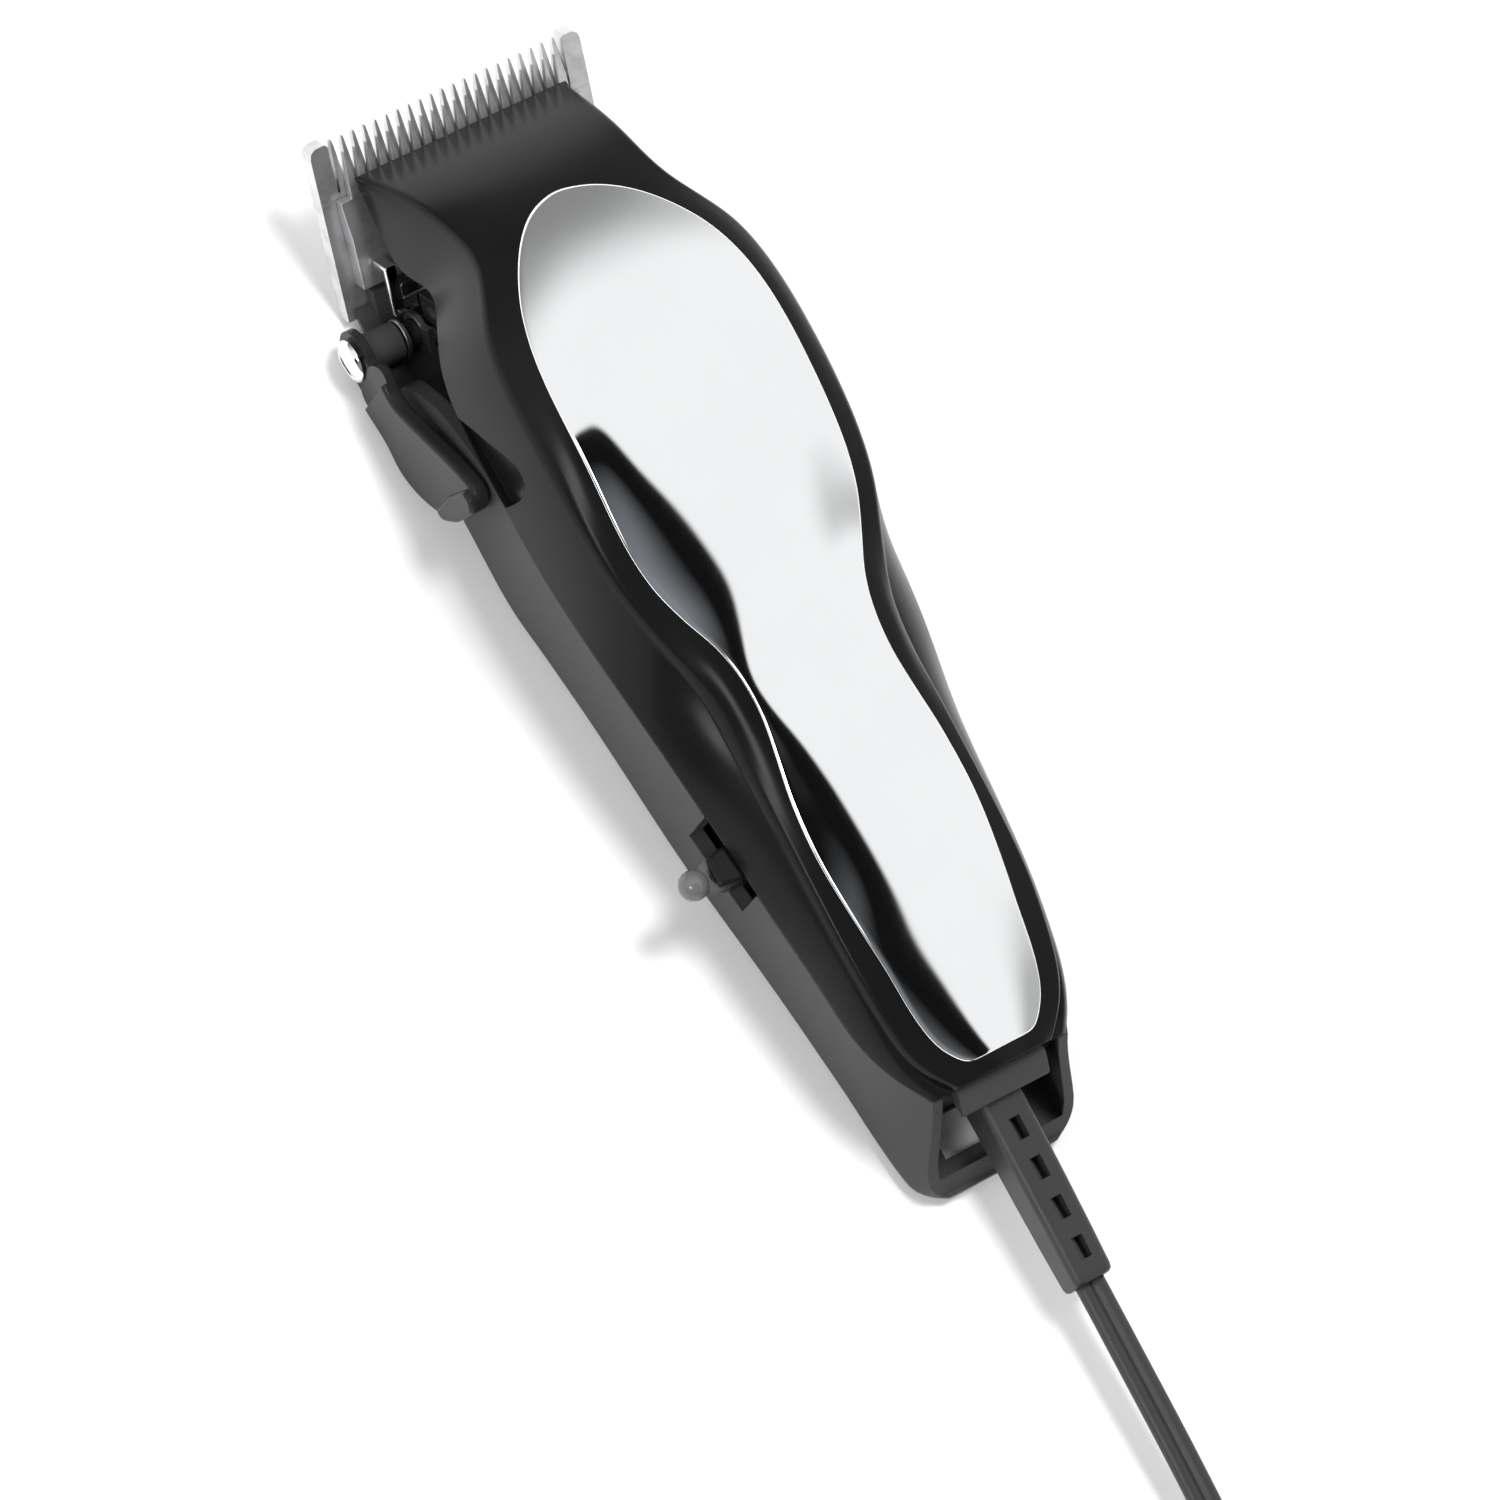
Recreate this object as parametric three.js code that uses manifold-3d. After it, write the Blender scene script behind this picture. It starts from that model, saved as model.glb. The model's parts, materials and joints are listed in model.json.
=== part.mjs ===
// An electric pet clipper with a vibrating magnet motor, built as its separate pieces.
// Millimetres. +Y points from the cord end to the blade, +X to the right, +Z up.
// "Station" is the distance along Y from the end of the tail loop.

import * as THREE from "three";
import { mergeVertices } from "three/addons/utils/BufferGeometryUtils.js";
import Module from "manifold-3d";

const wasm = await Module();
wasm.setup();

// ---------- driving dimensions ----------

const GAP = 0.3;
const WALL = 2.2;
const FLOOR = 2.4;
const ROUND_SIDES = 20;

const BLADE_WIDTH = 46.5;
const BLADE_LENGTH = 28.8;
const BLADE_THICK = 2.6;
const BLADE_REAR = 156.2;
const BLADE_TILT = THREE.MathUtils.degToRad(42.9);
const TOOTH_PITCH = 1.92;
const TOOTH_COUNT = 21;
const TOOTH_ROOT = 20.2;
const CUTTER_WIDTH = 41.8;
const CUTTER_SET_BACK = 1.9;
const HALF_STROKE = 1.3;

const LEVER_PIVOT = { y: 148.3, z: 5.6 };
const LEVER_FACE = -28;
const LEVER_THICK = 2.6;
const CRANK_THROW = 3.06;

const SWITCH = { y: 55.3, z: 19, slotBack: 49.5, slotFront: 62.8, slotFloor: 12.8 };
const POWER_SCREW = { y: 84, z: 12 };
const CORE = { back: 64, front: 104, low: 8, high: 22 };
const HOUSING_SCREWS = [["front_left", -18.4, 108], ["front_right", 15, 112], ["rear", 0, 36]];

const RELIEF = { root: 9.6, tip: -20.8, rootZ: 12.2, tipZ: 9.8 };
const CORD = { width: 4.8, thick: 2.4 };
const HANK = { start: -112, run: 62, inner: 14.6, pitch: 2.6, columns: 4, layers: 2 };

// ---------- outlines along the body: [station, value] ----------

const seamHalf = profile([
  [0, 9.5], [6, 10.2], [11.5, 11.6], [17, 14.9], [24, 17.1], [36, 18.6], [46, 19.7], [60, 21],
  [76, 23.1], [93, 24.8], [106, 25.4], [130, 24.9], [145, 24.3], [160, 23.8],
]);
const seamHeight = profile([
  [0, 20], [11.5, 21], [24, 20.3], [36, 21.7], [60, 22.9], [76, 24.8], [90, 25], [160, 25],
]);
const bottomHalf = profile([
  [0, 9.6], [1.2, 11.8], [4.2, 14], [23, 15.7], [38, 17.1], [61, 19.7], [84, 21.3], [96, 22.4],
  [106, 23.4], [118, 23.2], [145, 22.4], [160, 22],
]);
const coverHalf = profile([
  [11.6, 11.4], [14, 13.3], [18, 15.4], [24, 17.1], [36, 18.6], [46, 19.7], [60, 21], [76, 23.1],
  [93, 24.8], [106, 25.4], [130, 24.9], [138, 23.3], [144, 20.4], [149, 17.6], [155, 18.4], [169.7, 18.1],
]);
const coverLow = profile([
  [11.6, 21], [24, 20.3], [36, 21.7], [60, 22.9], [76, 24.8], [90, 25], [138, 25], [144, 24.6],
  [149, 22], [155, 17.4], [163, 18], [169.7, 19],
]);
const rimHalf = profile([
  [11.6, 8.1], [14, 10.6], [18, 12.9], [24, 14.3], [36, 15.5], [60, 15.8], [70, 15.8], [78, 16.4],
  [86, 18.9], [94, 21.4], [104, 22.7], [118, 23], [128, 22.6], [136, 21.1], [142, 18.2], [147.5, 15.9],
  [158.5, 16.2], [165.3, 17], [169.7, 17.8],
]);
const rimHeight = profile([
  [11.6, 23.2], [24, 27], [36, 29.8], [60, 32], [70, 32.6], [78, 34], [86, 36], [94, 38.4],
  [104, 40.4], [118, 41.9], [132, 41.9], [142, 41], [147.5, 39.6], [151.4, 37.4], [158.5, 32.4],
  [165.3, 25.4], [169.7, 19.6],
]);
const crownHeight = profile([
  [11.6, 25.2], [17.5, 26.8], [24, 28.4], [36, 31], [44, 32.7], [58, 34.6], [70, 36.1], [82, 38],
  [94, 41.2], [104, 43.6], [114, 45.2], [126, 46.1], [134, 45.8], [140, 44.7], [145.5, 42.6],
  [151.4, 38.6], [158.5, 32.9], [165.3, 25.6], [169.7, 19.7],
]);
const plateHalf = profile([
  [13.7, 5.9], [17.5, 8.9], [22.7, 10.5], [31, 11.5], [36, 12.2], [44, 13.1], [50, 13.4], [58, 13],
  [64.4, 12.1], [70.4, 11.4], [76.7, 11.7], [82, 13], [87, 15.3], [93.2, 17.7], [100.5, 18.9],
  [112, 19.1], [123, 18.9], [130, 18], [136, 16.2], [141, 13.6], [145.5, 10.3], [148.6, 7],
  [150.4, 4], [151.2, 1.4],
]);

const PLATE_STATIONS = [
  13.7, 15.5, 17.5, 20, 22.7, 27, 31, 36, 40, 44, 50, 54, 58, 61, 64.4, 70.4, 76.7, 82, 84.5, 87,
  90, 93.2, 97, 100.5, 106, 112, 118, 123, 127, 130, 133, 136, 139, 141, 143.5, 145.5, 147.2,
  148.6, 149.6, 150.4, 151.2,
];
const COVER_STATIONS = [
  11.6, 12.6, 14, 16, 18, 21, 24, 30, 36, 46, 53, 60, 65, 70, 74, 78, 82, 86, 90, 94, 99, 104,
  111, 118, 125, 130, 134, 138, 141, 144, 147.5, 151.4, 155, 158.5, 162, 165.3, 167.6, 169.7,
];
const HOUSING_STATIONS = [0, 1.2, 2.6, 4.2, 8, 11.5, 17, 24, 36, 46, 60, 76, 93, 106, 118, 130, 145, 160];

// ---------- making solids ----------

/** A smooth curve through [place, value] points, as a function of place. */
function profile(points) {
  const slope = (i) => {
    const before = points[Math.max(i - 1, 0)];
    const after = points[Math.min(i + 1, points.length - 1)];
    return (after[1] - before[1]) / (after[0] - before[0]);
  };
  return (place) => {
    let i = 0;
    while (i < points.length - 2 && place > points[i + 1][0]) i += 1;
    const [x0, y0] = points[i];
    const [x1, y1] = points[i + 1];
    const span = x1 - x0;
    const t = Math.min(Math.max((place - x0) / span, 0), 1);
    const rise = y0 * (1 + 2 * t) * (1 - t) ** 2 + y1 * t * t * (3 - 2 * t);
    return rise + span * (slope(i) * t * (1 - t) ** 2 - slope(i + 1) * t * t * (1 - t));
  };
}

/** A closed skin over rings of points, with a fan over each end. */
function loft(rings) {
  const count = rings[0].length;
  const points = rings.flat();
  const faces = [];
  for (let i = 0; i + 1 < rings.length; i += 1) {
    for (let j = 0; j < count; j += 1) {
      const a = i * count + j;
      const b = i * count + ((j + 1) % count);
      faces.push([a, b, b + count], [a, b + count, a + count]);
    }
  }
  for (const [start, flip] of [[0, true], [(rings.length - 1) * count, false]]) {
    const ring = points.slice(start, start + count);
    const middle = [0, 1, 2].map((k) => ring.reduce((sum, p) => sum + p[k], 0) / count);
    const hub = points.push(middle) - 1;
    for (let j = 0; j < count; j += 1) {
      const a = start + j;
      const b = start + ((j + 1) % count);
      faces.push(flip ? [b, a, hub] : [a, b, hub]);
    }
  }
  const volume = faces.reduce((sum, [a, b, c]) => {
    const [p, q, r] = [a, b, c].map((k) => new THREE.Vector3(...points[k]));
    return sum + p.dot(q.cross(r));
  }, 0);
  const geometry = new THREE.BufferGeometry();
  geometry.setAttribute("position", new THREE.Float32BufferAttribute(points.flat(), 3));
  geometry.setIndex((volume > 0 ? faces : faces.map(([a, b, c]) => [a, c, b])).flat());
  return geometry;
}

/** The manifold solid of a closed geometry. */
function toSolid(geometry) {
  const bare = geometry.clone();
  bare.deleteAttribute("normal");
  bare.deleteAttribute("uv");
  const merged = mergeVertices(bare, 1e-4);
  const vertProperties = new Float32Array(merged.attributes.position.array);
  const triVerts = new Uint32Array(merged.index.array);
  return new wasm.Manifold(new wasm.Mesh({ numProp: 3, vertProperties, triVerts }));
}

/** The geometry of a manifold solid. */
function fromSolid(solid) {
  const { vertProperties, triVerts } = solid.getMesh();
  const geometry = new THREE.BufferGeometry();
  geometry.setAttribute("position", new THREE.BufferAttribute(new Float32Array(vertProperties), 3));
  geometry.setIndex(new THREE.BufferAttribute(new Uint32Array(triVerts), 1));
  return geometry;
}

const join = (...parts) => fromSolid(parts.map(toSolid).reduce((whole, part) => whole.add(part)));
const cut = (base, ...tools) => (
  fromSolid(tools.map(toSolid).reduce((left, tool) => left.subtract(tool), toSolid(base)))
);
const common = (a, b) => fromSolid(toSolid(a).intersect(toSolid(b)));

/** A block between two corners. */
function block([x0, x1], [y0, y1], [z0, z1]) {
  const geometry = new THREE.BoxGeometry(x1 - x0, y1 - y0, z1 - z0);
  return geometry.translate((x0 + x1) / 2, (y0 + y1) / 2, (z0 + z1) / 2);
}

/** A round rod between two points; its far end may have another radius. */
function rod(radius, from, to, endRadius = radius, sides = ROUND_SIDES) {
  const start = new THREE.Vector3(...from);
  const along = new THREE.Vector3(...to).sub(start);
  const geometry = new THREE.CylinderGeometry(endRadius, radius, along.length(), sides);
  geometry.translate(0, along.length() / 2, 0);
  const turn = new THREE.Quaternion().setFromUnitVectors(new THREE.Vector3(0, 1, 0), along.normalize());
  geometry.applyQuaternion(turn);
  return geometry.translate(...from);
}

/** An outline of [a, b] points pushed along Z from low to high. */
function slab(outline, low, high) {
  const shape = new THREE.Shape(outline.map(([a, b]) => new THREE.Vector2(a, b)));
  const geometry = new THREE.ExtrudeGeometry(shape, { depth: high - low, bevelEnabled: false });
  return geometry.translate(0, 0, low);
}

/** An outline of [y, z] points pushed along X from left to right. */
function sidePlate(outline, left, right) {
  const turn = new THREE.Matrix4().set(0, 0, 1, 0, 1, 0, 0, 0, 0, 1, 0, 0, 0, 0, 0, 1);
  return slab(outline, left, right).applyMatrix4(turn);
}

/** A symmetric ring: the right half is given, outer side first, and its mirror image completes it. */
function mirrored(half, station) {
  const left = half.filter(([x]) => x > 0).map(([x, z]) => [-x, z]);
  return [...half, ...left.reverse()].map(([x, z]) => [x, station, z]);
}

/** Where a point of the side view lies along the blade and out of its top face. */
function bladeCoordinates({ y, z }) {
  const [back, cosine, sine] = [y - BLADE_REAR, Math.cos(BLADE_TILT), Math.sin(BLADE_TILT)];
  return [back * cosine + z * sine, z * cosine - back * sine];
}

/** Blade coordinates: X across, Y from the blade's back edge to its tips, Z out of its top face. */
function onBlade(geometry) {
  return geometry.rotateX(BLADE_TILT).translate(0, BLADE_REAR, 0);
}

// ---------- materials ----------

const finish = (color, roughness, metalness = 0) => () => (
  new THREE.MeshStandardMaterial({ color, roughness, metalness })
);
const blackShell = finish(0x2b2b2c, 0.35);
const greyShell = finish(0x3a3a3b, 0.45);
const greyPlastic = finish(0xa9a9a9, 0.5);
const whitePlastic = finish(0xd8d4c8, 0.5);
const chrome = finish(0xe6e8ea, 0.06, 1);
const bladeSteel = finish(0xb9bcbf, 0.3, 1);
const plainSteel = finish(0x8d9093, 0.4, 1);
const iron = finish(0x5b5f63, 0.6, 1);
const copper = finish(0xb4662e, 0.35, 1);
const brass = finish(0xc9a24a, 0.35, 1);
const softBlack = finish(0x303031, 0.6);

const clipper = new THREE.Group();

/** Adds one named piece to the clipper. */
function piece(name, material, geometry) {
  const mesh = new THREE.Mesh(geometry, material());
  mesh.name = name;
  clipper.add(mesh);
}

// ---------- casing ----------

/** A housing ring: flat underside, rounded lower corners, straight sides up to the seam. */
function housingRing(station, inset, floor, top) {
  const low = bottomHalf(station) - inset;
  const high = seamHalf(station) - inset;
  const side = [[high, top], [low, floor + 3], [low - 0.9, floor + 0.9], [low - 3, floor]];
  return mirrored(side, station);
}

function bottomHousing() {
  const outer = loft(HOUSING_STATIONS.map((y) => housingRing(y, 0, 0, seamHeight(y) - GAP)));
  const innerStations = [...HOUSING_STATIONS.filter((y) => y > 2), 161];
  const hollow = loft(innerStations.map((y) => housingRing(y, WALL, FLOOR, seamHeight(y) + 2)));
  const bulkhead = common(outer, block([-14, 14], [11.8, 13.8], [0.5, 16.8]));
  const frontPad = onBlade(block([-20.8, 20.8], [-6, 4.6], [BLADE_THICK + GAP, 5.5]));
  const onPivot = (radius, from, to) => (
    rod(radius, [from, LEVER_PIVOT.y, LEVER_PIVOT.z], [to, LEVER_PIVOT.y, LEVER_PIVOT.z])
  );
  const boss = onPivot(5.2, -24.9, -19.6);
  const posts = HOUSING_SCREWS.map(([, x, y]) => rod(3.1, [x, y, 1], [x, y, 19]));
  const raw = join(cut(outer, hollow), bulkhead, common(frontPad, outer), ...posts);
  const aheadOfBlade = onBlade(block([-40, 40], [-30, 60], [-40, BLADE_THICK + GAP]));
  const overPad = sidePlate(
    [[146, 40], [146, 24.6], [150, 20], [153.5, 6.2], [153, 4.2], [165, 15], [165, 40]], -40, 40,
  );
  const leftOpening = sidePlate(
    [[118, 40], [118, 25.4], [121, 24.4], [128, 21.6], [134, 18], [138, 13.5], [141, 9], [141.5, 3.4],
      [143, FLOOR + 1], [170, FLOOR + 1], [170, 40]], -40, -19.6,
  );
  const tailSlope = sidePlate([[-5, 2.9], [0.6, 2.9], [11.9, 21.4], [12, 40], [-5, 40]], -40, 40);
  const reliefHole = block([-4, 4], [10, 15], [7.2, 17.4]);
  const hangHole = block([-6.9, 6.9], [5.1, 11.3], [-1, FLOOR + 1]);
  const { slotBack, slotFront, slotFloor } = SWITCH;
  const slot = block([-30, -15], [slotBack, slotFront], [slotFloor, 30]);
  const screwHole = rod(3.3, [15, POWER_SCREW.y, POWER_SCREW.z], [30, POWER_SCREW.y, POWER_SCREW.z]);
  const cutterReach = CUTTER_WIDTH / 2 + HALF_STROKE + WALL;
  const cutterRoom = onBlade(block([-cutterReach, cutterReach], [5, 30], [BLADE_THICK, 7]));
  const washerSeat = onPivot(3.4, -19.5, -14);
  const leverShaft = onPivot(2.3, -30, -15);
  const sunk = HOUSING_SCREWS.flatMap(([, x, y]) => [
    rod(3, [x, y, -1], [x, y, 2]),
    rod(1.7, [x, y, 1], [x, y, 22]),
  ]);
  const bladeHoles = [-14, 14].map((x) => onBlade(rod(1.7, [x, 2.6, 0], [x, 2.6, 9])));
  const shaped = join(cut(raw, leftOpening, overPad), boss);
  const holes = [reliefHole, hangHole, slot, screwHole, cutterRoom, washerSeat, leverShaft];
  return cut(shaped, aheadOfBlade, tailSlope, ...holes, ...sunk, ...bladeHoles);
}

/** A cover ring: side wall, rounded rim, and a crowned top. */
function coverRing(station, inset, lower) {
  const wall = coverHalf(station) - inset;
  const rim = Math.min(rimHalf(station), coverHalf(station) - 0.3) - inset;
  const low = coverLow(station) - lower;
  const [edge, top] = [rimHeight(station) - inset, crownHeight(station) - inset];
  const crown = [0.84, 0.62, 0.4, 0.2, 0].map((share) => [rim * share, top - (top - edge) * share ** 2.6]);
  const side = [[wall, low], [wall + (rim - wall) * 0.5 + 0.3, low + (edge - low) * 0.5]];
  const shoulder = [[rim + 0.35, edge - 1.1], [rim - 0.5, edge]];
  return mirrored([...side, ...shoulder, ...crown], station);
}

/** The crowned band that the face plate fills, between two depths under the cover's top. */
function plateBand(wider, above, below) {
  const across = [-1, -0.75, -0.5, -0.25, 0, 0.25, 0.5, 0.75, 1];
  return loft(PLATE_STATIONS.map((station) => {
    const half = plateHalf(station) + wider;
    const rim = Math.min(rimHalf(station), coverHalf(station) - 0.3);
    const [crown, drop] = [crownHeight(station), crownHeight(station) - rimHeight(station)];
    const top = (x) => crown - drop * Math.abs(x / rim) ** 2.6;
    const upper = across.map((share) => [share * half, station, top(share * half) + above]);
    const lower = across.map((share) => [share * half, station, top(share * half) - below]).reverse();
    return [...upper, ...lower];
  }));
}

function topCover() {
  const outer = loft(COVER_STATIONS.map((y) => coverRing(y, 0, 0)));
  const hollowStations = [14.4, ...COVER_STATIONS.filter((y) => y > 14.4 && y < 165), 166.5];
  const hollow = loft(hollowStations.map((y) => coverRing(y, WALL, 3)));
  const overBlade = onBlade(block([-40, 40], [-12, 60], [-20, 4.95]));
  const thumbNotch = sidePlate(
    [[129.5, 25.6], [124, 30], [118, 34.4], [115.2, 34.2], [114.3, 31], [115.4, 25.6]], -40, -23.9,
  );
  const recess = plateBand(0.3, 4, 1.3);
  const mouth = block([-15.6, 15.6], [160, 175], [0, 17.6]);
  return cut(outer, hollow, overBlade, thumbNotch, recess, mouth);
}

piece("bottom_housing", greyShell, bottomHousing());
piece("top_cover", blackShell, topCover());
piece("face_plate", chrome, plateBand(0, 0.25, 1));
piece("exit_panel", blackShell, sidePlate(
  [[8, 17.1], [8, 18.2], [10.8, 20.6], [13.6, 20.6], [13.6, 17.1]], -7.6, 7.6,
));

// ---------- blades ----------

/** A comb outline: a straight back and teeth from the root line to the tip line. */
function combOutline({ half, back, root, tip, guard, rootWidth, tipWidth, count }) {
  const outline = [[-half, back], [half, back], [half, guard ? tip : root]];
  if (guard) outline.push([half - guard, tip], [half - guard, root]);
  for (let i = count - 1; i >= 0; i -= 1) {
    const x = (i - (count - 1) / 2) * TOOTH_PITCH;
    outline.push([x + rootWidth / 2, root], [x + tipWidth / 2, tip - 0.4]);
    outline.push([x - tipWidth / 2, tip - 0.4], [x - rootWidth / 2, root]);
  }
  if (guard) outline.push([guard - half, root], [guard - half, tip]);
  outline.push([-half, guard ? tip : root]);
  return outline;
}

function stationaryBlade() {
  const comb = slab(combOutline({
    half: BLADE_WIDTH / 2, back: 0, root: TOOTH_ROOT, tip: BLADE_LENGTH, guard: 3.1,
    rootWidth: 1.3, tipWidth: 0.6, count: TOOTH_COUNT,
  }), 0, BLADE_THICK);
  const [from, to] = [TOOTH_ROOT + 1, BLADE_LENGTH + 1];
  const thinTips = sidePlate([[from, -1], [to, -1], [to, 1.1], [from, 0]], -19.9, 19.9);
  const holes = [-14, 14].flatMap((x) => [
    rod(1.7, [x, 2.6, -1], [x, 2.6, 4]),
    rod(2.9, [x, 2.6, -1], [x, 2.6, 1.7]),
  ]);
  return onBlade(cut(comb, thinTips, ...holes));
}

function movingBlade() {
  const low = BLADE_THICK + 0.1;
  const tip = BLADE_LENGTH - CUTTER_SET_BACK;
  const comb = slab(combOutline({
    half: CUTTER_WIDTH / 2, back: 5.6, root: tip - 7.2, tip: tip + 0.4, guard: 0,
    rootWidth: 1.3, tipWidth: 0.45, count: TOOTH_COUNT,
  }), low, low + 2.8);
  const topSlope = sidePlate(
    [[14, 8], [14, low + 2.81], [17.5, low + 1.9], [19.5, low + 1.7], [28, low + 0.6], [28, 8]], -30, 30,
  );
  return onBlade(cut(comb, topSlope));
}

piece("stationary_blade", bladeSteel, stationaryBlade());
piece("moving_blade", bladeSteel, movingBlade());
for (const [side, x] of [["left", -14], ["right", 14]]) {
  const head = rod(2.6, [x, 2.6, 0.1], [x, 2.6, 1.6]);
  const shank = rod(1.4, [x, 2.6, 1.5], [x, 2.6, 5.2]);
  const drive = block([x - 2, x + 2], [2.3, 2.9], [-1, 0.8]);
  piece(`blade_screw_${side}`, plainSteel, onBlade(cut(join(head, shank), drive)));
}

// ---------- blade drive, on the moving blade ----------

function bladeGuide() {
  const body = block([-9, 9], [6.2, 14], [5.85, 9.5]);
  const fork = block([-1.95, 1.95], [6.9, 13], [6.9, 12]);
  return onBlade(cut(body, fork));
}

function tensionClip() {
  const bar = block([-18.9, 18.9], [1.6, 3.9], [8.4, 9.6]);
  const feet = [-1, 1].flatMap((side) => {
    const ends = [side * 16.9, side * 18.9].sort((a, b) => a - b);
    return [block(ends, [1.6, 9.8], [8.4, 9.6]), block(ends, [8.7, 9.8], [6, 9.5])];
  });
  return onBlade(join(bar, ...feet));
}

function taperCarriage() {
  const [y, z] = bladeCoordinates(LEVER_PIVOT);
  const pinRoom = 1.2 + GAP;
  const body = block([-14.8, 14.8], [y - 2.4, 4.2], [9.9, z + 5.4]);
  const slot = block([-16, -11.2], [y - pinRoom, y + pinRoom], [z + 1.3, z + CRANK_THROW + pinRoom]);
  return onBlade(cut(body, slot));
}

piece("blade_guide", whitePlastic, bladeGuide());
piece("tension_clip", chrome, tensionClip());
piece("taper_carriage", softBlack, taperCarriage());

// ---------- taper lever ----------

/** The lever's side outline, as a smooth S from the hub to the broad thumb end. */
function leverOutline() {
  const upper = [
    [145.8, 10.6], [143.6, 14.2], [141.4, 13], [138.4, 12.6], [134.6, 15], [130.2, 18], [125.6, 21.2],
    [120.6, 24],
  ];
  const end = [[118.6, 23.8], [117.2, 21.6], [118.4, 14.2], [120.2, 9.4]];
  const lower = [
    [122.6, 6.6], [125.6, 4], [128.6, 2.4], [131.6, 1.7], [135.2, 2.6], [138.2, 2.3], [141.8, 1.7],
    [144.4, 1.9],
  ];
  return [...upper, ...end, ...lower];
}

function taperLever() {
  const { y, z } = LEVER_PIVOT;
  const plate = sidePlate(leverOutline(), LEVER_FACE, LEVER_FACE + LEVER_THICK);
  const hub = rod(4.9, [LEVER_FACE + 1.4, y, z], [-25.3, y, z]);
  const neck = block([LEVER_FACE + 1, -25.4], [141, 147], [2.4, 9.6]);
  const lip = sidePlate(
    [[117.2, 21.6], [118.6, 23.6], [120.4, 23.4], [121.8, 9.8], [120.2, 9.6], [118.4, 14.2]],
    LEVER_FACE - 1.1, LEVER_FACE + 0.4,
  );
  const shaft = rod(2, [-25.6, y, z], [-15.9, y, z]);
  const shave = block([-40, LEVER_FACE + 0.9], [141.6, 160], [-5, 20]);
  const bore = rod(1.3, [-30, y, z], [-20, y, z]);
  return cut(join(cut(join(plate, lip), shave), hub, neck, shaft), bore);
}

/** The crank inside the housing turns with the lever, and its pin pushes the carriage. */
function taperCrank() {
  const [y, z] = bladeCoordinates(LEVER_PIVOT);
  const arm = block([-16.5, -15.5], [y - 1.9, y + 1.9], [z + 2.3, z + 4.4]);
  const ring = cut(rod(3, [-16.5, y, z], [-15.5, y, z]), rod(2.3, [-18, y, z], [-14, y, z]));
  const pin = rod(1.2, [-15.6, y, z + CRANK_THROW], [-11.8, y, z + CRANK_THROW]);
  return onBlade(join(arm, ring, pin));
}

function leverScrew() {
  const { y, z } = LEVER_PIVOT;
  const head = new THREE.SphereGeometry(3.4, 20, 12).scale(0.42, 1, 1).translate(-27.2, y, z);
  const body = rod(1.05, [-27.5, y, z], [-21, y, z]);
  const slot = block([-30, -28], [y - 3.5, y + 3.5], [z - 0.35, z + 0.35]);
  return cut(join(common(head, block([-30, -27.3], [y - 5, y + 5], [z - 5, z + 5])), body), slot);
}

function leverWasher() {
  const { y, z } = LEVER_PIVOT;
  const ring = rod(3.1, [-19.3, y, z], [-18.6, y, z]);
  return cut(ring, rod(2.35, [-30, y, z], [-10, y, z]));
}

piece("taper_lever", softBlack, taperLever());
piece("taper_crank", plainSteel, taperCrank());
piece("lever_screw", chrome, leverScrew());
piece("lever_washer", plainSteel, leverWasher());

// ---------- switch ----------

function switchKnob() {
  const { y, z } = SWITCH;
  const section = (x, wide, tall) => [
    [x, y - wide, z - tall], [x, y + wide, z - tall], [x, y + wide, z + tall], [x, y - wide, z + tall],
  ];
  return loft([section(-16.4, 3, 2.9), section(-21.4, 2.8, 2.8), section(-23.9, 2.3, 2.2)]);
}

piece("switch_knob", softBlack, switchKnob());
const switchBall = new THREE.SphereGeometry(2.3, 16, 12).translate(-26.5, SWITCH.y, SWITCH.z);
piece("switch_ball", greyPlastic, switchBall);
piece("switch_plate", greyPlastic, block([-16.1, -15.3], [SWITCH.y - 10.4, SWITCH.y + 8.4], [14.2, 21.6]));
piece("contact_slider", brass, block([-15, -13], [SWITCH.y - 5, SWITCH.y + 4], [13, 18]));
piece("switch_base", whitePlastic, join(
  block([-14.8, -11.5], [41.2, 65.8], [5.8, 12.6]),
  block([-13.2, -11.5], [44, 63], [FLOOR + GAP, 6]),
));
for (const [end, y] of [["back", 39.3], ["front", 66.3]]) {
  piece(`terminal_${end}`, brass, block([-12.8, -11.8], [y, y + 1.4], [6, 16]));
}

// ---------- magnet motor ----------

/** Laminated iron: a bar with two poles facing the armature. */
function statorCore() {
  const { back, front, low, high } = CORE;
  const bar = block([9.9, 14.9], [back, front], [low, high]);
  const poles = [[back, back + 7.6], [front - 7.6, front]].map((ends) => (
    block([1.1, 11], ends, [low, high])
  ));
  return join(bar, ...poles);
}

function coilBobbin() {
  const tube = block([8.6, 16.2], [73, 95], [6.7, 23.3]);
  const flanges = [[73, 74.2], [93.8, 95]].map((ends) => block([5.2, 17.9], ends, [4.9, 25.1]));
  return cut(join(tube, ...flanges), block([9.6, 15.2], [70, 99], [7.7, 22.3]));
}

function coilWinding() {
  return cut(block([5.5, 17.7], [74.5, 93.5], [5.1, 24.9]), block([8.3, 16.5], [70, 99], [6.4, 23.6]));
}

function armature() {
  const { back, front, low, high } = CORE;
  return block([-7.6, -0.5], [back - 0.6, front + 0.6], [low + 0.4, high - 0.4]);
}

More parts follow.
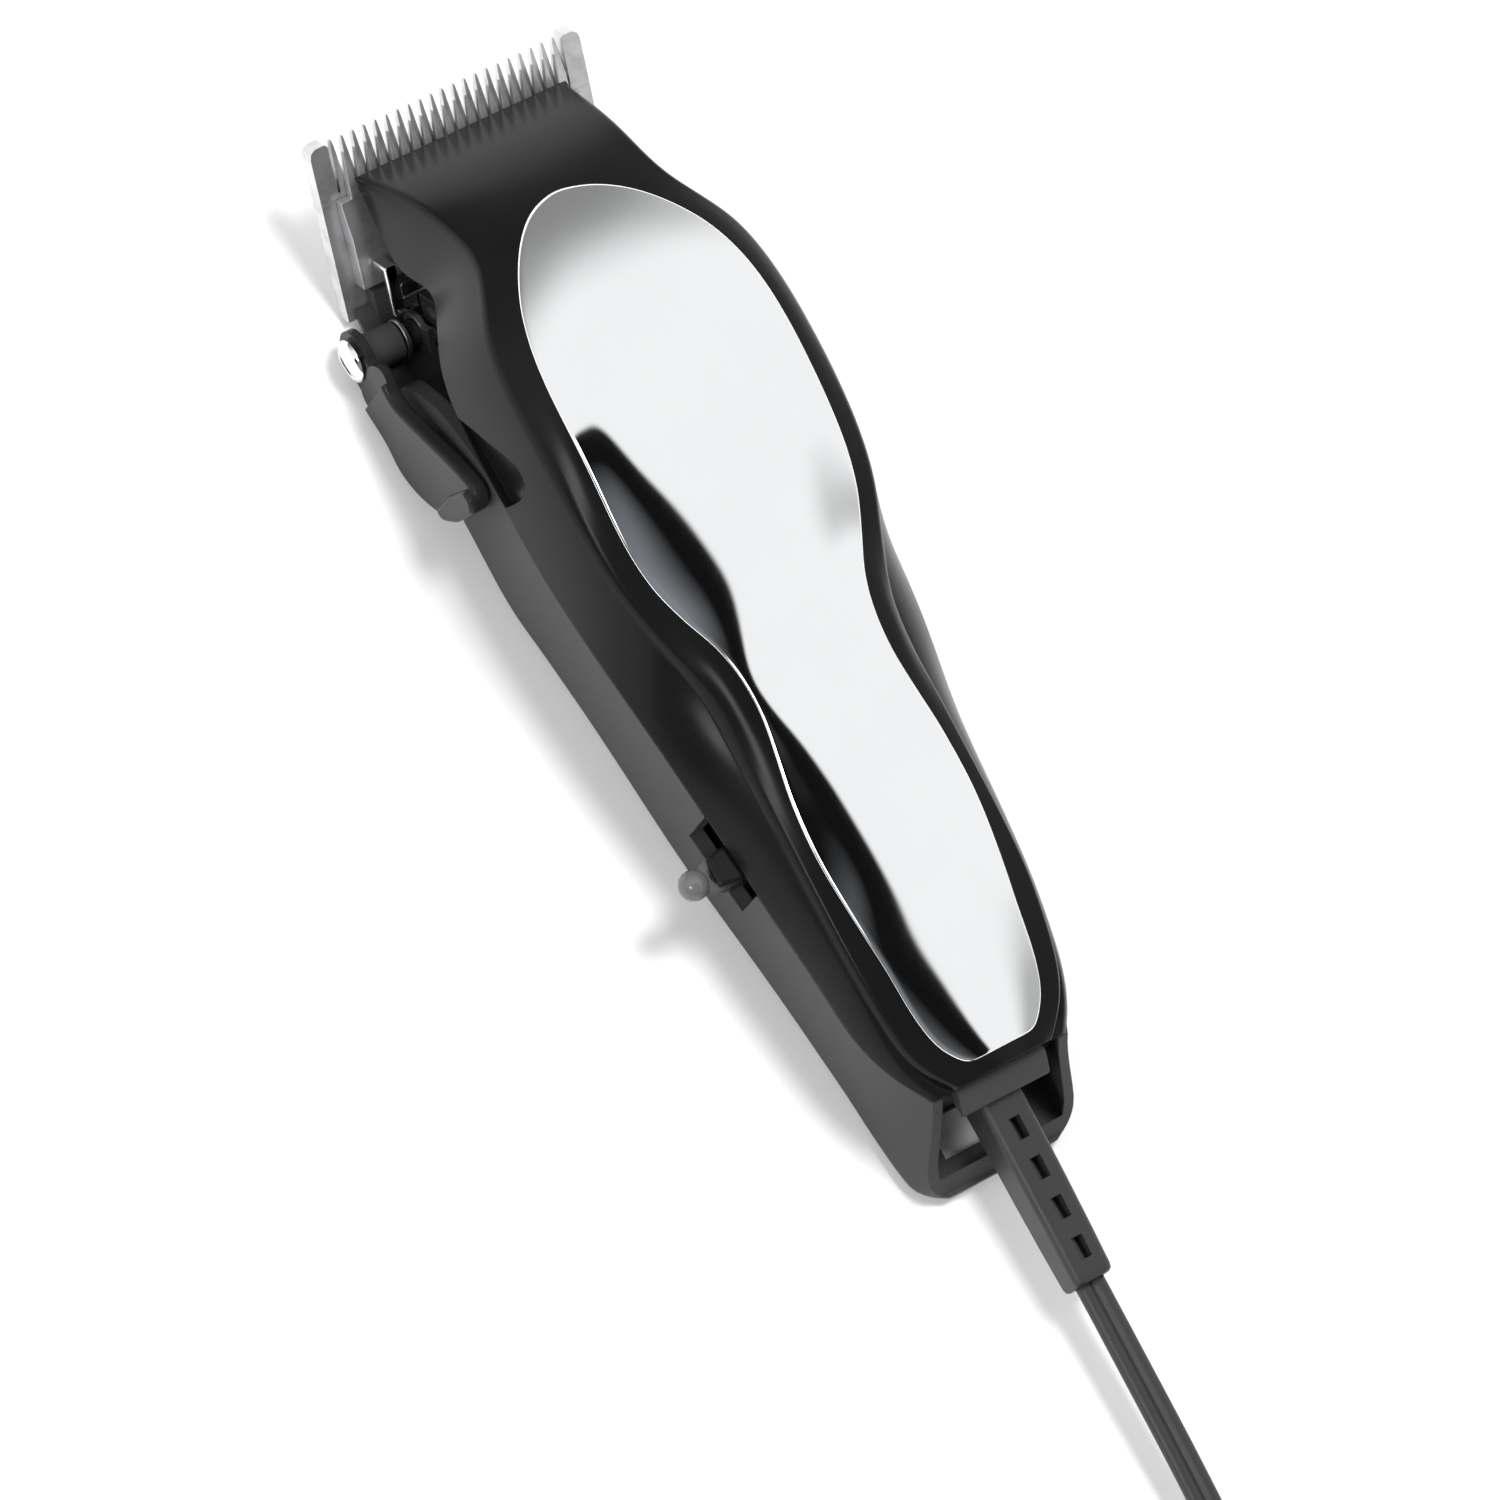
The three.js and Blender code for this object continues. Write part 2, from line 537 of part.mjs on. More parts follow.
/** The arm runs forward beside the iron, then crosses to the middle above the blade. */
function driveArm() {
  const side = slab([
    [-10.6, 57], [-7.9, 57], [-7.9, 118], [2, 140], [2, 151.4], [-2, 151.4], [-2, 141], [-10.6, 119.4],
  ], 13, 20.6);
  const finger = onBlade(block([-1.6, 1.6], [8.6, 11.4], [7.4, 20]));
  const noseCut = onBlade(block([-20, 20], [-20, 8.2], [0, 15.6]));
  return join(cut(side, noseCut), finger);
}

function springClamp() {
  return block([-9, 1], [43.6, 49.4], [FLOOR + GAP, 24]);
}

function motorBracket() {
  const base = block([2.2, 13.8], [58, 108.4], [FLOOR + GAP, 4.6]);
  const ears = [[58, 60], [106.4, 108.4]].map((ends) => block([6, 13.8], ends, [4, 20]));
  return join(base, ...ears);
}

piece("stator_core", iron, statorCore());
piece("coil_bobbin", whitePlastic, coilBobbin());
piece("coil_winding", copper, coilWinding());
piece("motor_bracket", plainSteel, motorBracket());
piece("armature", iron, armature());
piece("drive_arm", plainSteel, driveArm());
piece("spring_clamp", plainSteel, springClamp());
for (const [side, x] of [["left", -7.6], ["right", -1.2]]) {
  piece(`leaf_spring_${side}`, plainSteel, block([x, x + 0.6], [49.7, 63.1], [10, 20]));
}
for (const [end, y] of [["back", 67.8], ["front", 100.2]]) {
  piece(`core_screw_${end}`, plainSteel, rod(2.6, [4.2, y, CORE.high + GAP], [4.2, y, CORE.high + 2.4]));
}

/** The stroke screw turns in a nut plate and bears on the coil end of the core. */
function powerScrew() {
  const { y, z } = POWER_SCREW;
  const slot = block([22.4, 30], [y - 4, y + 4], [z - 0.4, z + 0.4]);
  return cut(join(rod(2.9, [20.9, y, z], [23, y, z]), rod(1.5, [18.7, y, z], [21.2, y, z])), slot);
}

piece("power_screw", brass, powerScrew());

// ---------- fasteners in the underside ----------

for (const [place, x, y] of HOUSING_SCREWS) {
  const head = rod(2.7, [x, y, 0.3], [x, y, 1.8]);
  const shank = rod(1.4, [x, y, 1.5], [x, y, 16]);
  const cross = [[1.6, 0.35], [0.35, 1.6]].map(([a, b]) => block([x - a, x + a], [y - b, y + b], [0, 1.1]));
  piece(`housing_screw_${place}`, plainSteel, cut(join(head, shank), ...cross));
}

// ---------- cord ----------

/** The relief's centre height at a station, falling gently from root to tip. */
function reliefHeight(y) {
  const share = (y - RELIEF.tip) / (RELIEF.root - RELIEF.tip);
  return RELIEF.tipZ + share * (RELIEF.rootZ - RELIEF.tipZ);
}

function strainRelief() {
  const ring = (y, wide, tall) => {
    const [a, b, z] = [wide / 2, tall / 2, reliefHeight(y)];
    const corner = 1.5;
    const half = [
      [a - corner, -b], [a - corner * 0.3, -b + corner * 0.3], [a, -b + corner], [a, b - corner],
      [a - corner * 0.3, b - corner * 0.3], [a - corner, b],
    ];
    return mirrored(half, y).map(([x, , dz]) => [x, y, z + dz]);
  };
  const body = loft([
    ring(RELIEF.root + 6, 7.2, 8), ring(RELIEF.root, 7.2, 8), ring(-6, 7, 7.6), ring(RELIEF.tip, 6.6, 6.8),
  ]);
  const collar = block([-5.4, 5.4], [14.2, 16.6], [7, 16.6]);
  const windows = [3.2, -3.2, -9.6, -16].map((y) => {
    const z = reliefHeight(y) + 3.6;
    return block([-0.8, 1], [y - 1.7, y + 1.7], [z - 2.4, z + 4]);
  });
  return cut(join(body, collar), ...windows);
}

function cordClamp() {
  return cut(block([-6.6, 6.6], [20, 23.6], [FLOOR + GAP, 14.6]), block([-3.4, 3.4], [15, 30], [9.8, 13.4]));
}

/** A lead along a smooth curve, given as [x, y, z] points, with a flat or round section. */
function lead(points, steps, wide, tall, sides) {
  const path = new THREE.CatmullRomCurve3(points.map((p) => new THREE.Vector3(...p)), false, "centripetal");
  const section = Array.from({ length: sides }, (_, i) => {
    const a = ((i + 0.5) / sides) * 2 * Math.PI;
    return new THREE.Vector2((Math.cos(a) * tall) / 2, (Math.sin(a) * wide) / 2);
  });
  const along = { steps, extrudePath: path, bevelEnabled: false };
  return new THREE.ExtrudeGeometry(new THREE.Shape(section), along);
}

const hankHalf = HANK.inner + HANK.pitch * (HANK.columns - 1) + CORD.thick / 2 + 0.4;
const hankTall = HANK.layers * (CORD.width + 0.2) + 0.2;
const hankFront = HANK.start - hankHalf;
const hankBack = hankFront - HANK.run;

/** The free stretch from the relief's tip down to the surface and round to the hank's left run. */
const CORD_ROUTE = [
  [0, -21.2, 9.75], [0, -32, 8.9], [0, -44, 8], [0, -58, 6.4], [-0.2, -70, 4.6], [-1.6, -82, 3.2],
  [-5.4, -94, 2.7], [-11.4, -105.5, 2.6], [-16.2, -113, 2.6], [-18.4, -118.2, 2.6],
];
const INNER_LEAD = 1.9;
const LEFT_LEAD_ROUTE = [
  [-1.4, 17.2, 11.6], [-1.5, 24.5, 11.6], [-6, 31, 12.4], [-11, 36, 12], [-12.2, 38.9, 11.4],
];
const RIGHT_LEAD_ROUTE = [
  [1.4, 17.2, 11.6], [1.5, 24.5, 11.6], [5.4, 31, 13.6], [7, 42, 17.6], [8.6, 57, 24.4], [9.4, 66, 25],
  [9.6, 72.4, 23.9],
];
const PLUG = { x: -22.4, y: hankBack - hankHalf - 14, z: 7.4 };
const PLUG_ROUTE = [
  [PLUG.x, hankBack - 11.6, 7.6], [PLUG.x, hankBack - 20, 7.5], [PLUG.x, hankBack - 29, 7.4],
  [PLUG.x, PLUG.y + 0.4, 7.4],
];

function cordHank() {
  const outline = [];
  for (const [centre, from] of [[hankFront, 0], [hankBack, Math.PI]]) {
    for (let i = 0; i <= 12; i += 1) {
      const angle = from + (i / 12) * Math.PI;
      outline.push([hankHalf * Math.cos(angle), centre + hankHalf * Math.sin(angle)]);
    }
  }
  return slab(outline, 0.05, hankTall);
}

function cordTie() {
  const middle = (hankFront + hankBack) / 2;
  const band = block([-hankHalf - 1.9, hankHalf + 1.9], [middle - 4, middle + 4], [0.02, hankTall + 1.9]);
  const inside = block([-hankHalf - GAP, hankHalf + GAP], [middle - 9, middle + 9], [-1, hankTall + GAP]);
  return cut(band, inside);
}

function plugBody() {
  const corners = [
    [-1, -0.6], [-0.6, -1], [0.6, -1], [1, -0.6], [1, 0.6], [0.6, 1], [-0.6, 1], [-1, 0.6],
  ];
  const ring = (back, wide, tall) => (
    corners.map(([x, z]) => [PLUG.x + x * wide, PLUG.y - back, PLUG.z + z * tall])
  );
  return loft([
    ring(0, 3.6, 2.8), ring(10, 4.6, 4), ring(13, 9, 6.4), ring(27, 11.4, 7.3), ring(31, 11.4, 7.3),
  ]);
}

piece("strain_relief", softBlack, strainRelief());
piece("cord_clamp", whitePlastic, cordClamp());
piece("inner_lead_left", softBlack, lead(LEFT_LEAD_ROUTE, 14, INNER_LEAD, INNER_LEAD, 8));
piece("inner_lead_right", softBlack, lead(RIGHT_LEAD_ROUTE, 20, INNER_LEAD, INNER_LEAD, 8));
piece("cord_lead", softBlack, lead(CORD_ROUTE, 40, CORD.width, CORD.thick, 10));
piece("cord_hank", softBlack, cordHank());
piece("cord_tie", blackShell, cordTie());
piece("cord_tail", softBlack, lead(PLUG_ROUTE, 6, CORD.width, CORD.thick, 10));
piece("plug_body", softBlack, plugBody());
for (const [side, x] of [["left", -6.35], ["right", 6.35]]) {
  const across = [PLUG.x + x - 0.75, PLUG.x + x + 0.75];
  const tall = [PLUG.z - 3.15, PLUG.z + 3.15];
  piece(`plug_blade_${side}`, brass, block(across, [PLUG.y - 48, PLUG.y - 31.3], tall));
}

// ---------- place the origin under the middle of the clipper, without its cord ----------

const onCord = new Set([
  "strain_relief", "cord_lead", "cord_hank", "cord_tie", "cord_tail", "plug_body", "plug_blade_left",
  "plug_blade_right",
]);
const extent = new THREE.Box3();
for (const mesh of clipper.children.filter((child) => !onCord.has(child.name))) {
  extent.expandByObject(mesh);
}
const centre = extent.getCenter(new THREE.Vector3());
clipper.position.set(-centre.x, -centre.y, -extent.min.z);

export default clipper;
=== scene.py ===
# %% [markdown]
# # An electric pet clipper, finished in Blender
# The clipper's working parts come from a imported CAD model: every piece already has its true
# size, its place and its joint. This lesson dresses that model. Each large shell is rebuilt
# with a fine, smooth surface, the cord is laid at its full length, and every piece gets a
# procedural finish. One unit is one metre, +Y points from the cord end to the blade.

import bmesh
import bpy
import json
import math
import numpy as np
from mathutils import Matrix, Vector

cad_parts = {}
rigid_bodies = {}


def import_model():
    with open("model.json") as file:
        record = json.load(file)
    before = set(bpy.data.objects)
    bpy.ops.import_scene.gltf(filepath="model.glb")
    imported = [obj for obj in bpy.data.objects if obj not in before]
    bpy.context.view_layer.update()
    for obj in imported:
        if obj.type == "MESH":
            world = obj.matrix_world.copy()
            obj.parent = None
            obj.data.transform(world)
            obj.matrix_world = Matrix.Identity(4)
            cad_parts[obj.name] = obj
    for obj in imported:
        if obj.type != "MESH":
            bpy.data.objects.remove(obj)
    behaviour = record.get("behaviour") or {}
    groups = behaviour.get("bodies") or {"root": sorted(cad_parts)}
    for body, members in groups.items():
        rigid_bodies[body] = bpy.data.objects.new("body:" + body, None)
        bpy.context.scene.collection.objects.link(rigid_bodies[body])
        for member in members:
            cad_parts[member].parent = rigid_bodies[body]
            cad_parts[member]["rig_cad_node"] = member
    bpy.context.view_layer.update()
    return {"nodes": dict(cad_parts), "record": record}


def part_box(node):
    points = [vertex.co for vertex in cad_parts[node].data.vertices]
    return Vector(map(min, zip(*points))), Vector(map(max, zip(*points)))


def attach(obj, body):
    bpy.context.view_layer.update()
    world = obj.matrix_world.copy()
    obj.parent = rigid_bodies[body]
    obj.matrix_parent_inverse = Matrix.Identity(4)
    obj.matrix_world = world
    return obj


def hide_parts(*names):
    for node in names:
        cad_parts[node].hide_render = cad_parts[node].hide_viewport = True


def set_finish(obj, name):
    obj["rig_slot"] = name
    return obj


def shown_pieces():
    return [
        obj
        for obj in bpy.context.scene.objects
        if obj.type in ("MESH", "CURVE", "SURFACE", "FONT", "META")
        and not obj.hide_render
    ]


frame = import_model()
MM = 0.001

# %% [markdown]
# A clipper is easiest to describe by stations: millimetres along the body from the end of the
# tail loop. The face plate is symmetric, so the middle of its box gives the centre line, and
# the housing's box gives station zero.

# %% Find the body's own axes in the frame
plate_low, plate_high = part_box("face_plate")
MIDDLE_X = (plate_low.x + plate_high.x) / 2
STATION_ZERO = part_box("bottom_housing")[0].y


def place(points):
    """Body millimetres (across, station, up) as metres in the row frame."""
    return np.asarray(points, float) * MM + (MIDDLE_X, STATION_ZERO, 0)


print("centre line x", round(MIDDLE_X, 5), "station zero y", round(STATION_ZERO, 5))

# %% [markdown]
# ## The camera
# The clipper is seen from above its left side, turned so that the blade points to the upper
# left. Three unit vectors describe that: the one to the right in the view, the one that points up
# in it, and the one towards the camera. The long lens keeps the body's sides nearly parallel.

# %% Set the camera
TILT_LEFT, TILT_BACK = math.radians(22), math.radians(7.3)
SMALL_ROLL, TURN = math.radians(-1.48), math.radians(28.2)
EYE_RIGHT, EYE_UP, EYE_AWAY = -7.838, -19.161, 1194.94
SENSOR_MM, LENS_IN_SENSORS = 36, 5.52

across = Vector((math.cos(TILT_LEFT), 0, math.sin(TILT_LEFT)))
along = Vector((
    -math.sin(TILT_BACK) * math.sin(TILT_LEFT), math.cos(TILT_BACK),
    math.sin(TILT_BACK) * math.cos(TILT_LEFT),
))
towards = across.cross(along)
right = across * math.cos(SMALL_ROLL) + along * math.sin(SMALL_ROLL)
upward = along * math.cos(SMALL_ROLL) - across * math.sin(SMALL_ROLL)
eye = Vector((0, 88.5, 20)) + EYE_RIGHT * right + EYE_UP * upward + EYE_AWAY * towards
view_right = right * math.cos(TURN) - upward * math.sin(TURN)
view_up = right * math.sin(TURN) + upward * math.cos(TURN)

lens = bpy.data.cameras.new("studio_camera")
lens.sensor_width = SENSOR_MM
lens.lens = SENSOR_MM * LENS_IN_SENSORS
lens.clip_start, lens.clip_end = 0.1, 20
camera = bpy.data.objects.new("studio_camera", lens)
bpy.context.scene.collection.objects.link(camera)
camera.matrix_world = Matrix.Translation(Vector(place(eye))) @ Matrix((
    view_right, view_up, towards)).transposed().to_4x4()
bpy.context.scene.camera = camera
print("camera at", [round(v, 4) for v in camera.location])

# %% [markdown]
# ## Outlines along the body
# The shells are lofted: a section changes smoothly from station to station. Each number that
# changes is one outline, a short list of (station, value) pairs with a soft curve through them.
# Shiny parts need very even curves, so each curve is also blurred by a few millimetres.

# %% A smooth curve through a short list
FINE = 0.25


def outline(pairs, soften=3.0):
    """A soft curve through (station, value) pairs, as a function of the station."""
    at, value = np.array(pairs, float).T
    slope = np.empty_like(value)
    slope[1:-1] = (value[2:] - value[:-2]) / (at[2:] - at[:-2])
    slope[0] = (value[1] - value[0]) / (at[1] - at[0])
    slope[-1] = (value[-1] - value[-2]) / (at[-1] - at[-2])
    fine = np.linspace(at[0], at[-1], int((at[-1] - at[0]) / FINE) + 1)
    i = np.clip(np.searchsorted(at, fine, side="right") - 1, 0, len(at) - 2)
    span = at[i + 1] - at[i]
    t = (fine - at[i]) / span
    curve = (
        value[i] * (1 + 2 * t) * (1 - t) ** 2 + value[i + 1] * t * t * (3 - 2 * t)
        + span * (slope[i] * t * (1 - t) ** 2 - slope[i + 1] * t * t * (1 - t))
    )
    reach = int(3 * soften / FINE)
    if reach:
        before = 2 * curve[0] - curve[1:reach + 1][::-1]
        after = 2 * curve[-1] - curve[-reach - 1:-1][::-1]
        bell = np.exp(-0.5 * (np.arange(-reach, reach + 1) * FINE / soften) ** 2)
        curve = np.convolve(np.concatenate([before, curve, after]), bell / bell.sum(), "valid")
    return lambda station: np.interp(station, fine, curve)


seam_half = outline([
    (0, 9.5), (6, 10.2), (11.5, 11.6), (17, 14.9), (24, 17.1), (36, 18.6), (46, 19.7), (60, 21),
    (76, 23.1), (93, 24.8), (106, 25.4), (130, 24.9), (145, 24.3), (160, 23.8)], 2)
seam_height = outline([
    (0, 20), (11.5, 21), (24, 20.3), (36, 21.7), (60, 22.9), (76, 24.8), (90, 25), (160, 25)], 2)
bottom_half = outline([
    (0, 9.6), (1.2, 11.8), (4.2, 14), (23, 15.7), (38, 17.1), (61, 19.7), (84, 21.3), (96, 22.4),
    (106, 23.4), (118, 23.2), (145, 22.4), (160, 22)], 0.6)
cover_half = outline([
    (11.6, 11.4), (14, 13.3), (18, 15.4), (24, 17.1), (36, 18.6), (46, 19.7), (60, 21), (76, 23.1),
    (93, 24.8), (106, 25.4), (130, 24.9), (138, 23.3), (144, 20.4), (149, 17.6), (155, 18.4),
    (169.7, 18.1)], 1.5)
cover_low = outline([
    (11.6, 21), (24, 20.3), (36, 21.7), (60, 22.9), (76, 24.8), (90, 25), (138, 25), (144, 24.6),
    (149, 22), (155, 17.4), (163, 18), (169.7, 19)], 1)
rim_half = outline([
    (11.6, 8.1), (14, 10.6), (18, 12.9), (24, 14.3), (36, 15.5), (60, 15.8), (70, 15.8), (78, 16.4),
    (86, 18.9), (94, 21.4), (104, 22.7), (118, 23), (128, 22.6), (136, 21.1), (142, 18.2),
    (147.5, 15.9), (158.5, 16.2), (165.3, 17), (169.7, 17.8)], 2)
rim_height = outline([
    (11.6, 23.2), (24, 27), (36, 29.8), (60, 32), (70, 32.6), (78, 34), (86, 36), (94, 38.4),
    (104, 40.4), (118, 41.9), (132, 41.9), (142, 41), (147.5, 39.6), (151.4, 37.4), (158.5, 32.4),
    (165.3, 25.4), (169.7, 19.6)], 2)
crown_height = outline([
    (11.6, 25.2), (17.5, 26.8), (24, 28.4), (36, 31), (44, 32.7), (58, 34.6), (70, 36.1), (82, 38),
    (94, 41.2), (104, 43.6), (114, 45.2), (126, 46.1), (134, 45.8), (140, 44.7), (145.5, 42.6),
    (151.4, 38.6), (158.5, 32.9), (165.3, 25.6), (169.7, 19.7)], 3)
plate_half = outline([
    (13.7, 5.9), (17.5, 8.9), (22.7, 10.5), (31, 11.5), (36, 12.2), (44, 13.1), (50, 13.4),
    (58, 13), (64.4, 12.1), (70.4, 11.4), (76.7, 11.7), (82, 13), (87, 15.3), (93.2, 17.7),
    (100.5, 18.9), (112, 19.1), (123, 18.9), (130, 18), (136, 16.2), (141, 13.6), (145.5, 10.3),
    (148.6, 7), (150.4, 4), (151.2, 1.4)], 0)
bulge = outline([
    (11.6, 2.6), (28, 2.6), (36, 2.7), (44, 3.4), (51, 4), (58.6, 4.8), (65.5, 6.4), (71, 9.2),
    (75.5, 10.2), (81, 6), (88, 3.7), (97, 3.8), (104, 5), (110, 7), (117, 8.5), (126, 7), (136, 4.6),
    (144, 3), (169.7, 2.6)], 2)


def rim_edge(station):
    """Half the width between the two shoulders of the cover."""
    return np.minimum(rim_half(station), cover_half(station) - 0.3)


def top_height(x, station):
    """The crowned top of the cover, under the face plate too."""
    crown, edge = crown_height(station), rim_height(station)
    return crown - (crown - edge) * np.abs(x / rim_edge(station)) ** bulge(station)


print("cover crown at station 120:", round(float(crown_height(120)), 2), "mm")

# %% [markdown]
# ## Making closed meshes
# A loft joins rings of points into a closed skin. Prisms and rods are mostly carving tools.
# Boolean modifiers with the Manifold solver cut them out or join them on and leave a closed mesh,
# which is then settled, so that later steps work on plain faces.

# %% Loft, prism, rod and carve
ROUND_SIDES = 48


def new_piece(name, points, faces):
    """A closed, smooth-shaded mesh object from body millimetres."""
    mesh = bpy.data.meshes.new(name)
    mesh.from_pydata([tuple(p) for p in place(points)], [], [tuple(f) for f in faces])
    made = bpy.data.objects.new(name, mesh)
    bpy.context.scene.collection.objects.link(made)
    work = bmesh.new()
    work.from_mesh(mesh)
    bmesh.ops.remove_doubles(work, verts=work.verts, dist=2e-6)
    bmesh.ops.recalc_face_normals(work, faces=work.faces)
    if work.calc_volume(signed=True) < 0:
        bmesh.ops.reverse_faces(work, faces=work.faces)
    work.to_mesh(mesh)
    work.free()
    mesh.shade_smooth()
    return made


def ring_faces(count, rings, capped=True):
    """Quads between neighbouring rings of points, and a flat face on each end."""
    faces = [
        (i * count + j, i * count + (j + 1) % count,
         (i + 1) * count + (j + 1) % count, (i + 1) * count + j)
        for i in range(rings - 1) for j in range(count)
    ]
    if capped:
        faces += [tuple(range(count))[::-1], tuple(range((rings - 1) * count, rings * count))]
    return faces


def closing_faces(count, rings):
    """Quads from the last ring back to the first, for a band that runs round."""
    last = (rings - 1) * count
    return [(last + j, last + (j + 1) % count, (j + 1) % count, j) for j in range(count)]


def loft(name, rings):
    rings = np.asarray(rings, float)
    return new_piece(name, rings.reshape(-1, 3), ring_faces(rings.shape[1], rings.shape[0]))


BLADE_REAR, BLADE_TILT, BLADE_THICK = 156.2, math.radians(42.9), 2.6


def on_blade(points):
    """Turns blade coordinates (across, up the blade, out of its face) into body millimetres."""
    x, y, z = np.asarray(points, float).T
    c, s = math.cos(BLADE_TILT), math.sin(BLADE_TILT)
    return np.stack([x, BLADE_REAR + y * c - z * s, y * s + z * c], 1)


def prism(points_low, points_high, turned=None):
    """A solid between two flat outlines of equally many points."""
    points = np.concatenate([points_low, points_high])
    points = turned(points) if turned else points
    return new_piece("tool", points, ring_faces(len(points_low), 2))


def block(xs, ys, zs, turned=None):
    corners = [(xs[0], ys[0]), (xs[1], ys[0]), (xs[1], ys[1]), (xs[0], ys[1])]
    return prism([(x, y, zs[0]) for x, y in corners], [(x, y, zs[1]) for x, y in corners], turned)


def side_prism(side_outline, left, right):
    """An outline of (station, height) points pushed across the body."""
    return prism([(left, y, z) for y, z in side_outline], [(right, y, z) for y, z in side_outline])


def rod(radius, start, end, end_radius=None, sides=ROUND_SIDES, turned=None):
    start, end = np.array(start, float), np.array(end, float)
    axis = (end - start) / np.linalg.norm(end - start)
    side = np.cross(axis, (0, 0, 1) if abs(axis[2]) < 0.9 else (1, 0, 0))
    side /= np.linalg.norm(side)
    up = np.cross(axis, side)
    angle = np.linspace(0, 2 * math.pi, sides, endpoint=False)[:, None]
    circle = np.cos(angle) * side + np.sin(angle) * up
    return prism(start + radius * circle, end + (end_radius or radius) * circle, turned)


def settle(piece):
    """Turns what the modifiers make into the piece's own mesh."""
    view = bpy.context.evaluated_depsgraph_get()
    view.update()
    old, piece_now = piece.data, piece.evaluated_get(view)
    piece.data = bpy.data.meshes.new_from_object(piece_now)
    piece.modifiers.clear()
    piece.data.name = piece.name
    bpy.data.meshes.remove(old)
    return piece


def carve(piece, tools, how="DIFFERENCE"):
    """Cuts the tools out of the piece, or joins them on, and removes them."""
    for tool in tools:
        step = piece.modifiers.new("carve", "BOOLEAN")
        step.operation, step.solver, step.object = how, "MANIFOLD", tool
    settle(piece)
    for tool in tools:
        bpy.data.objects.remove(tool)
    return piece


def crisp(piece, degrees=32):
    """Smooth shading everywhere except over edges sharper than the angle."""
    piece.data.shade_smooth()
    piece.data.set_sharp_from_angle(angle=math.radians(degrees))
    even = piece.modifiers.new("even shading", "WEIGHTED_NORMAL")
    even.keep_sharp = True
    return piece


body_with = {n: b for b, ns in frame["record"]["behaviour"]["bodies"].items() for n in ns}


def stands_for(piece, nodes, slot):
    """The piece takes over the CAD nodes' place, their body and their finish slot."""
    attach(piece, body_with[nodes[0]])
    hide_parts(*nodes)
    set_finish(piece, slot)
    return piece


# %% [markdown]
# ## The mains cord
# A cord has a fixed length. About 1.9 m of flat twin lead leaves the strain relief, sinks to the
# table, turns on edge and is folded into a tied hank: four turns below, three above.

# %% Lay the cord's route
LEAD = [
    (0, -19.6, 9.85), (0, -26, 9.4), (0, -32, 8.9), (0, -38, 8.45), (0, -44, 8), (0, -51, 7.25),
    (0, -58, 6.4), (-0.1, -64, 5.5), (-0.2, -70, 4.6), (-0.8, -76, 3.8), (-1.7, -82, 3.2),
    (-3.3, -88, 2.9), (-5.5, -94, 2.7), (-8.3, -100, 2.6), (-11.5, -105.6, 2.6),
    (-16.0, -112.6, 2.6), (-19.3, -119.5, 2.6), (-21.6, -127.5, 2.6)]
FRONT_BEND, BACK_BEND, FOLDS, STEP, LAYERS = -136, -198, (22.4, 19.8, 17.2, 14.6), 2.6, (2.6, 7.6)


def ease(t):
    t = np.clip(t, 0, 1)
    return t * t * (3 - 2 * t)


def fold_turn(left, right_start, right_end, left_end, low, high):
    """One turn: left run, back bend, right run, front bend. It ends at the left run again."""
    down = [(-left, y, low) for y in np.linspace(FRONT_BEND, BACK_BEND, 20, endpoint=False)]
    bend = np.linspace(math.pi, 2 * math.pi, 26, endpoint=False)
    back = [(left * math.cos(a), BACK_BEND + left * math.sin(a), low) for a in bend]
    share = np.linspace(0, 1, 20, endpoint=False)
    up = [(right_start + (right_end - right_start) * ease(s), BACK_BEND + (FRONT_BEND - BACK_BEND) * s, low)
          for s in share]
    front = []
    for s in np.linspace(0, 1, 26, endpoint=False):
        reach = right_end + (left_end - right_end) * ease((s - 0.52) / 0.48)
        front.append((reach * math.cos(math.pi * s), FRONT_BEND + reach * math.sin(math.pi * s),
                      low + (high - low) * ease(s / 0.5)))
    return down + back + up + front


route = list(LEAD)
for here, inner in zip(FOLDS, FOLDS[1:] + (FOLDS[-1],)):
    top = LAYERS[1] if here == FOLDS[-1] else LAYERS[0]
    route += fold_turn(here, here, here, inner, LAYERS[0], top)
for here in FOLDS[:0:-1]:
    route += fold_turn(here, here, here + STEP, here + STEP, LAYERS[1], LAYERS[1])
route += [(-FOLDS[0], y, 7.6) for y in np.linspace(FRONT_BEND, BACK_BEND, 20, endpoint=False)]
PLUG_RUN = ((-198, 7.6), (-206, 7.6), (-214, 7.5), (-222, 7.45), (-230, 7.4), (-237.5, 7.4))
route += [(-FOLDS[0], y, z) for y, z in PLUG_RUN]
route = np.array(route, float)


def even_steps(points, spacing):
    """Points the same distance apart along a line."""
    points = np.asarray(points, float)
    far = np.concatenate([[0], np.cumsum(np.linalg.norm(np.diff(points, axis=0), axis=1))])
    at = np.linspace(0, far[-1], max(int(far[-1] / spacing), 2) + 1)
    return np.stack([np.interp(at, far, points[:, k]) for k in range(points.shape[1])], 1)


path = even_steps(route, 1.0)
bell = np.exp(-0.5 * (np.arange(-9, 10) / 3) ** 2)
padded = np.concatenate([2 * path[0] - path[1:10][::-1], path, 2 * path[-1] - path[-10:-1][::-1]])
path = np.stack([np.convolve(padded[:, k], bell / bell.sum(), "valid") for k in range(3)], 1)
path = even_steps(path, 2.4)

# %% [markdown]
# The section of a flat twin lead is two round cores side by side with a groove between them.
# It leaves the clipper lying flat and is turned a quarter before the hank, where flat cord
# folds easily.

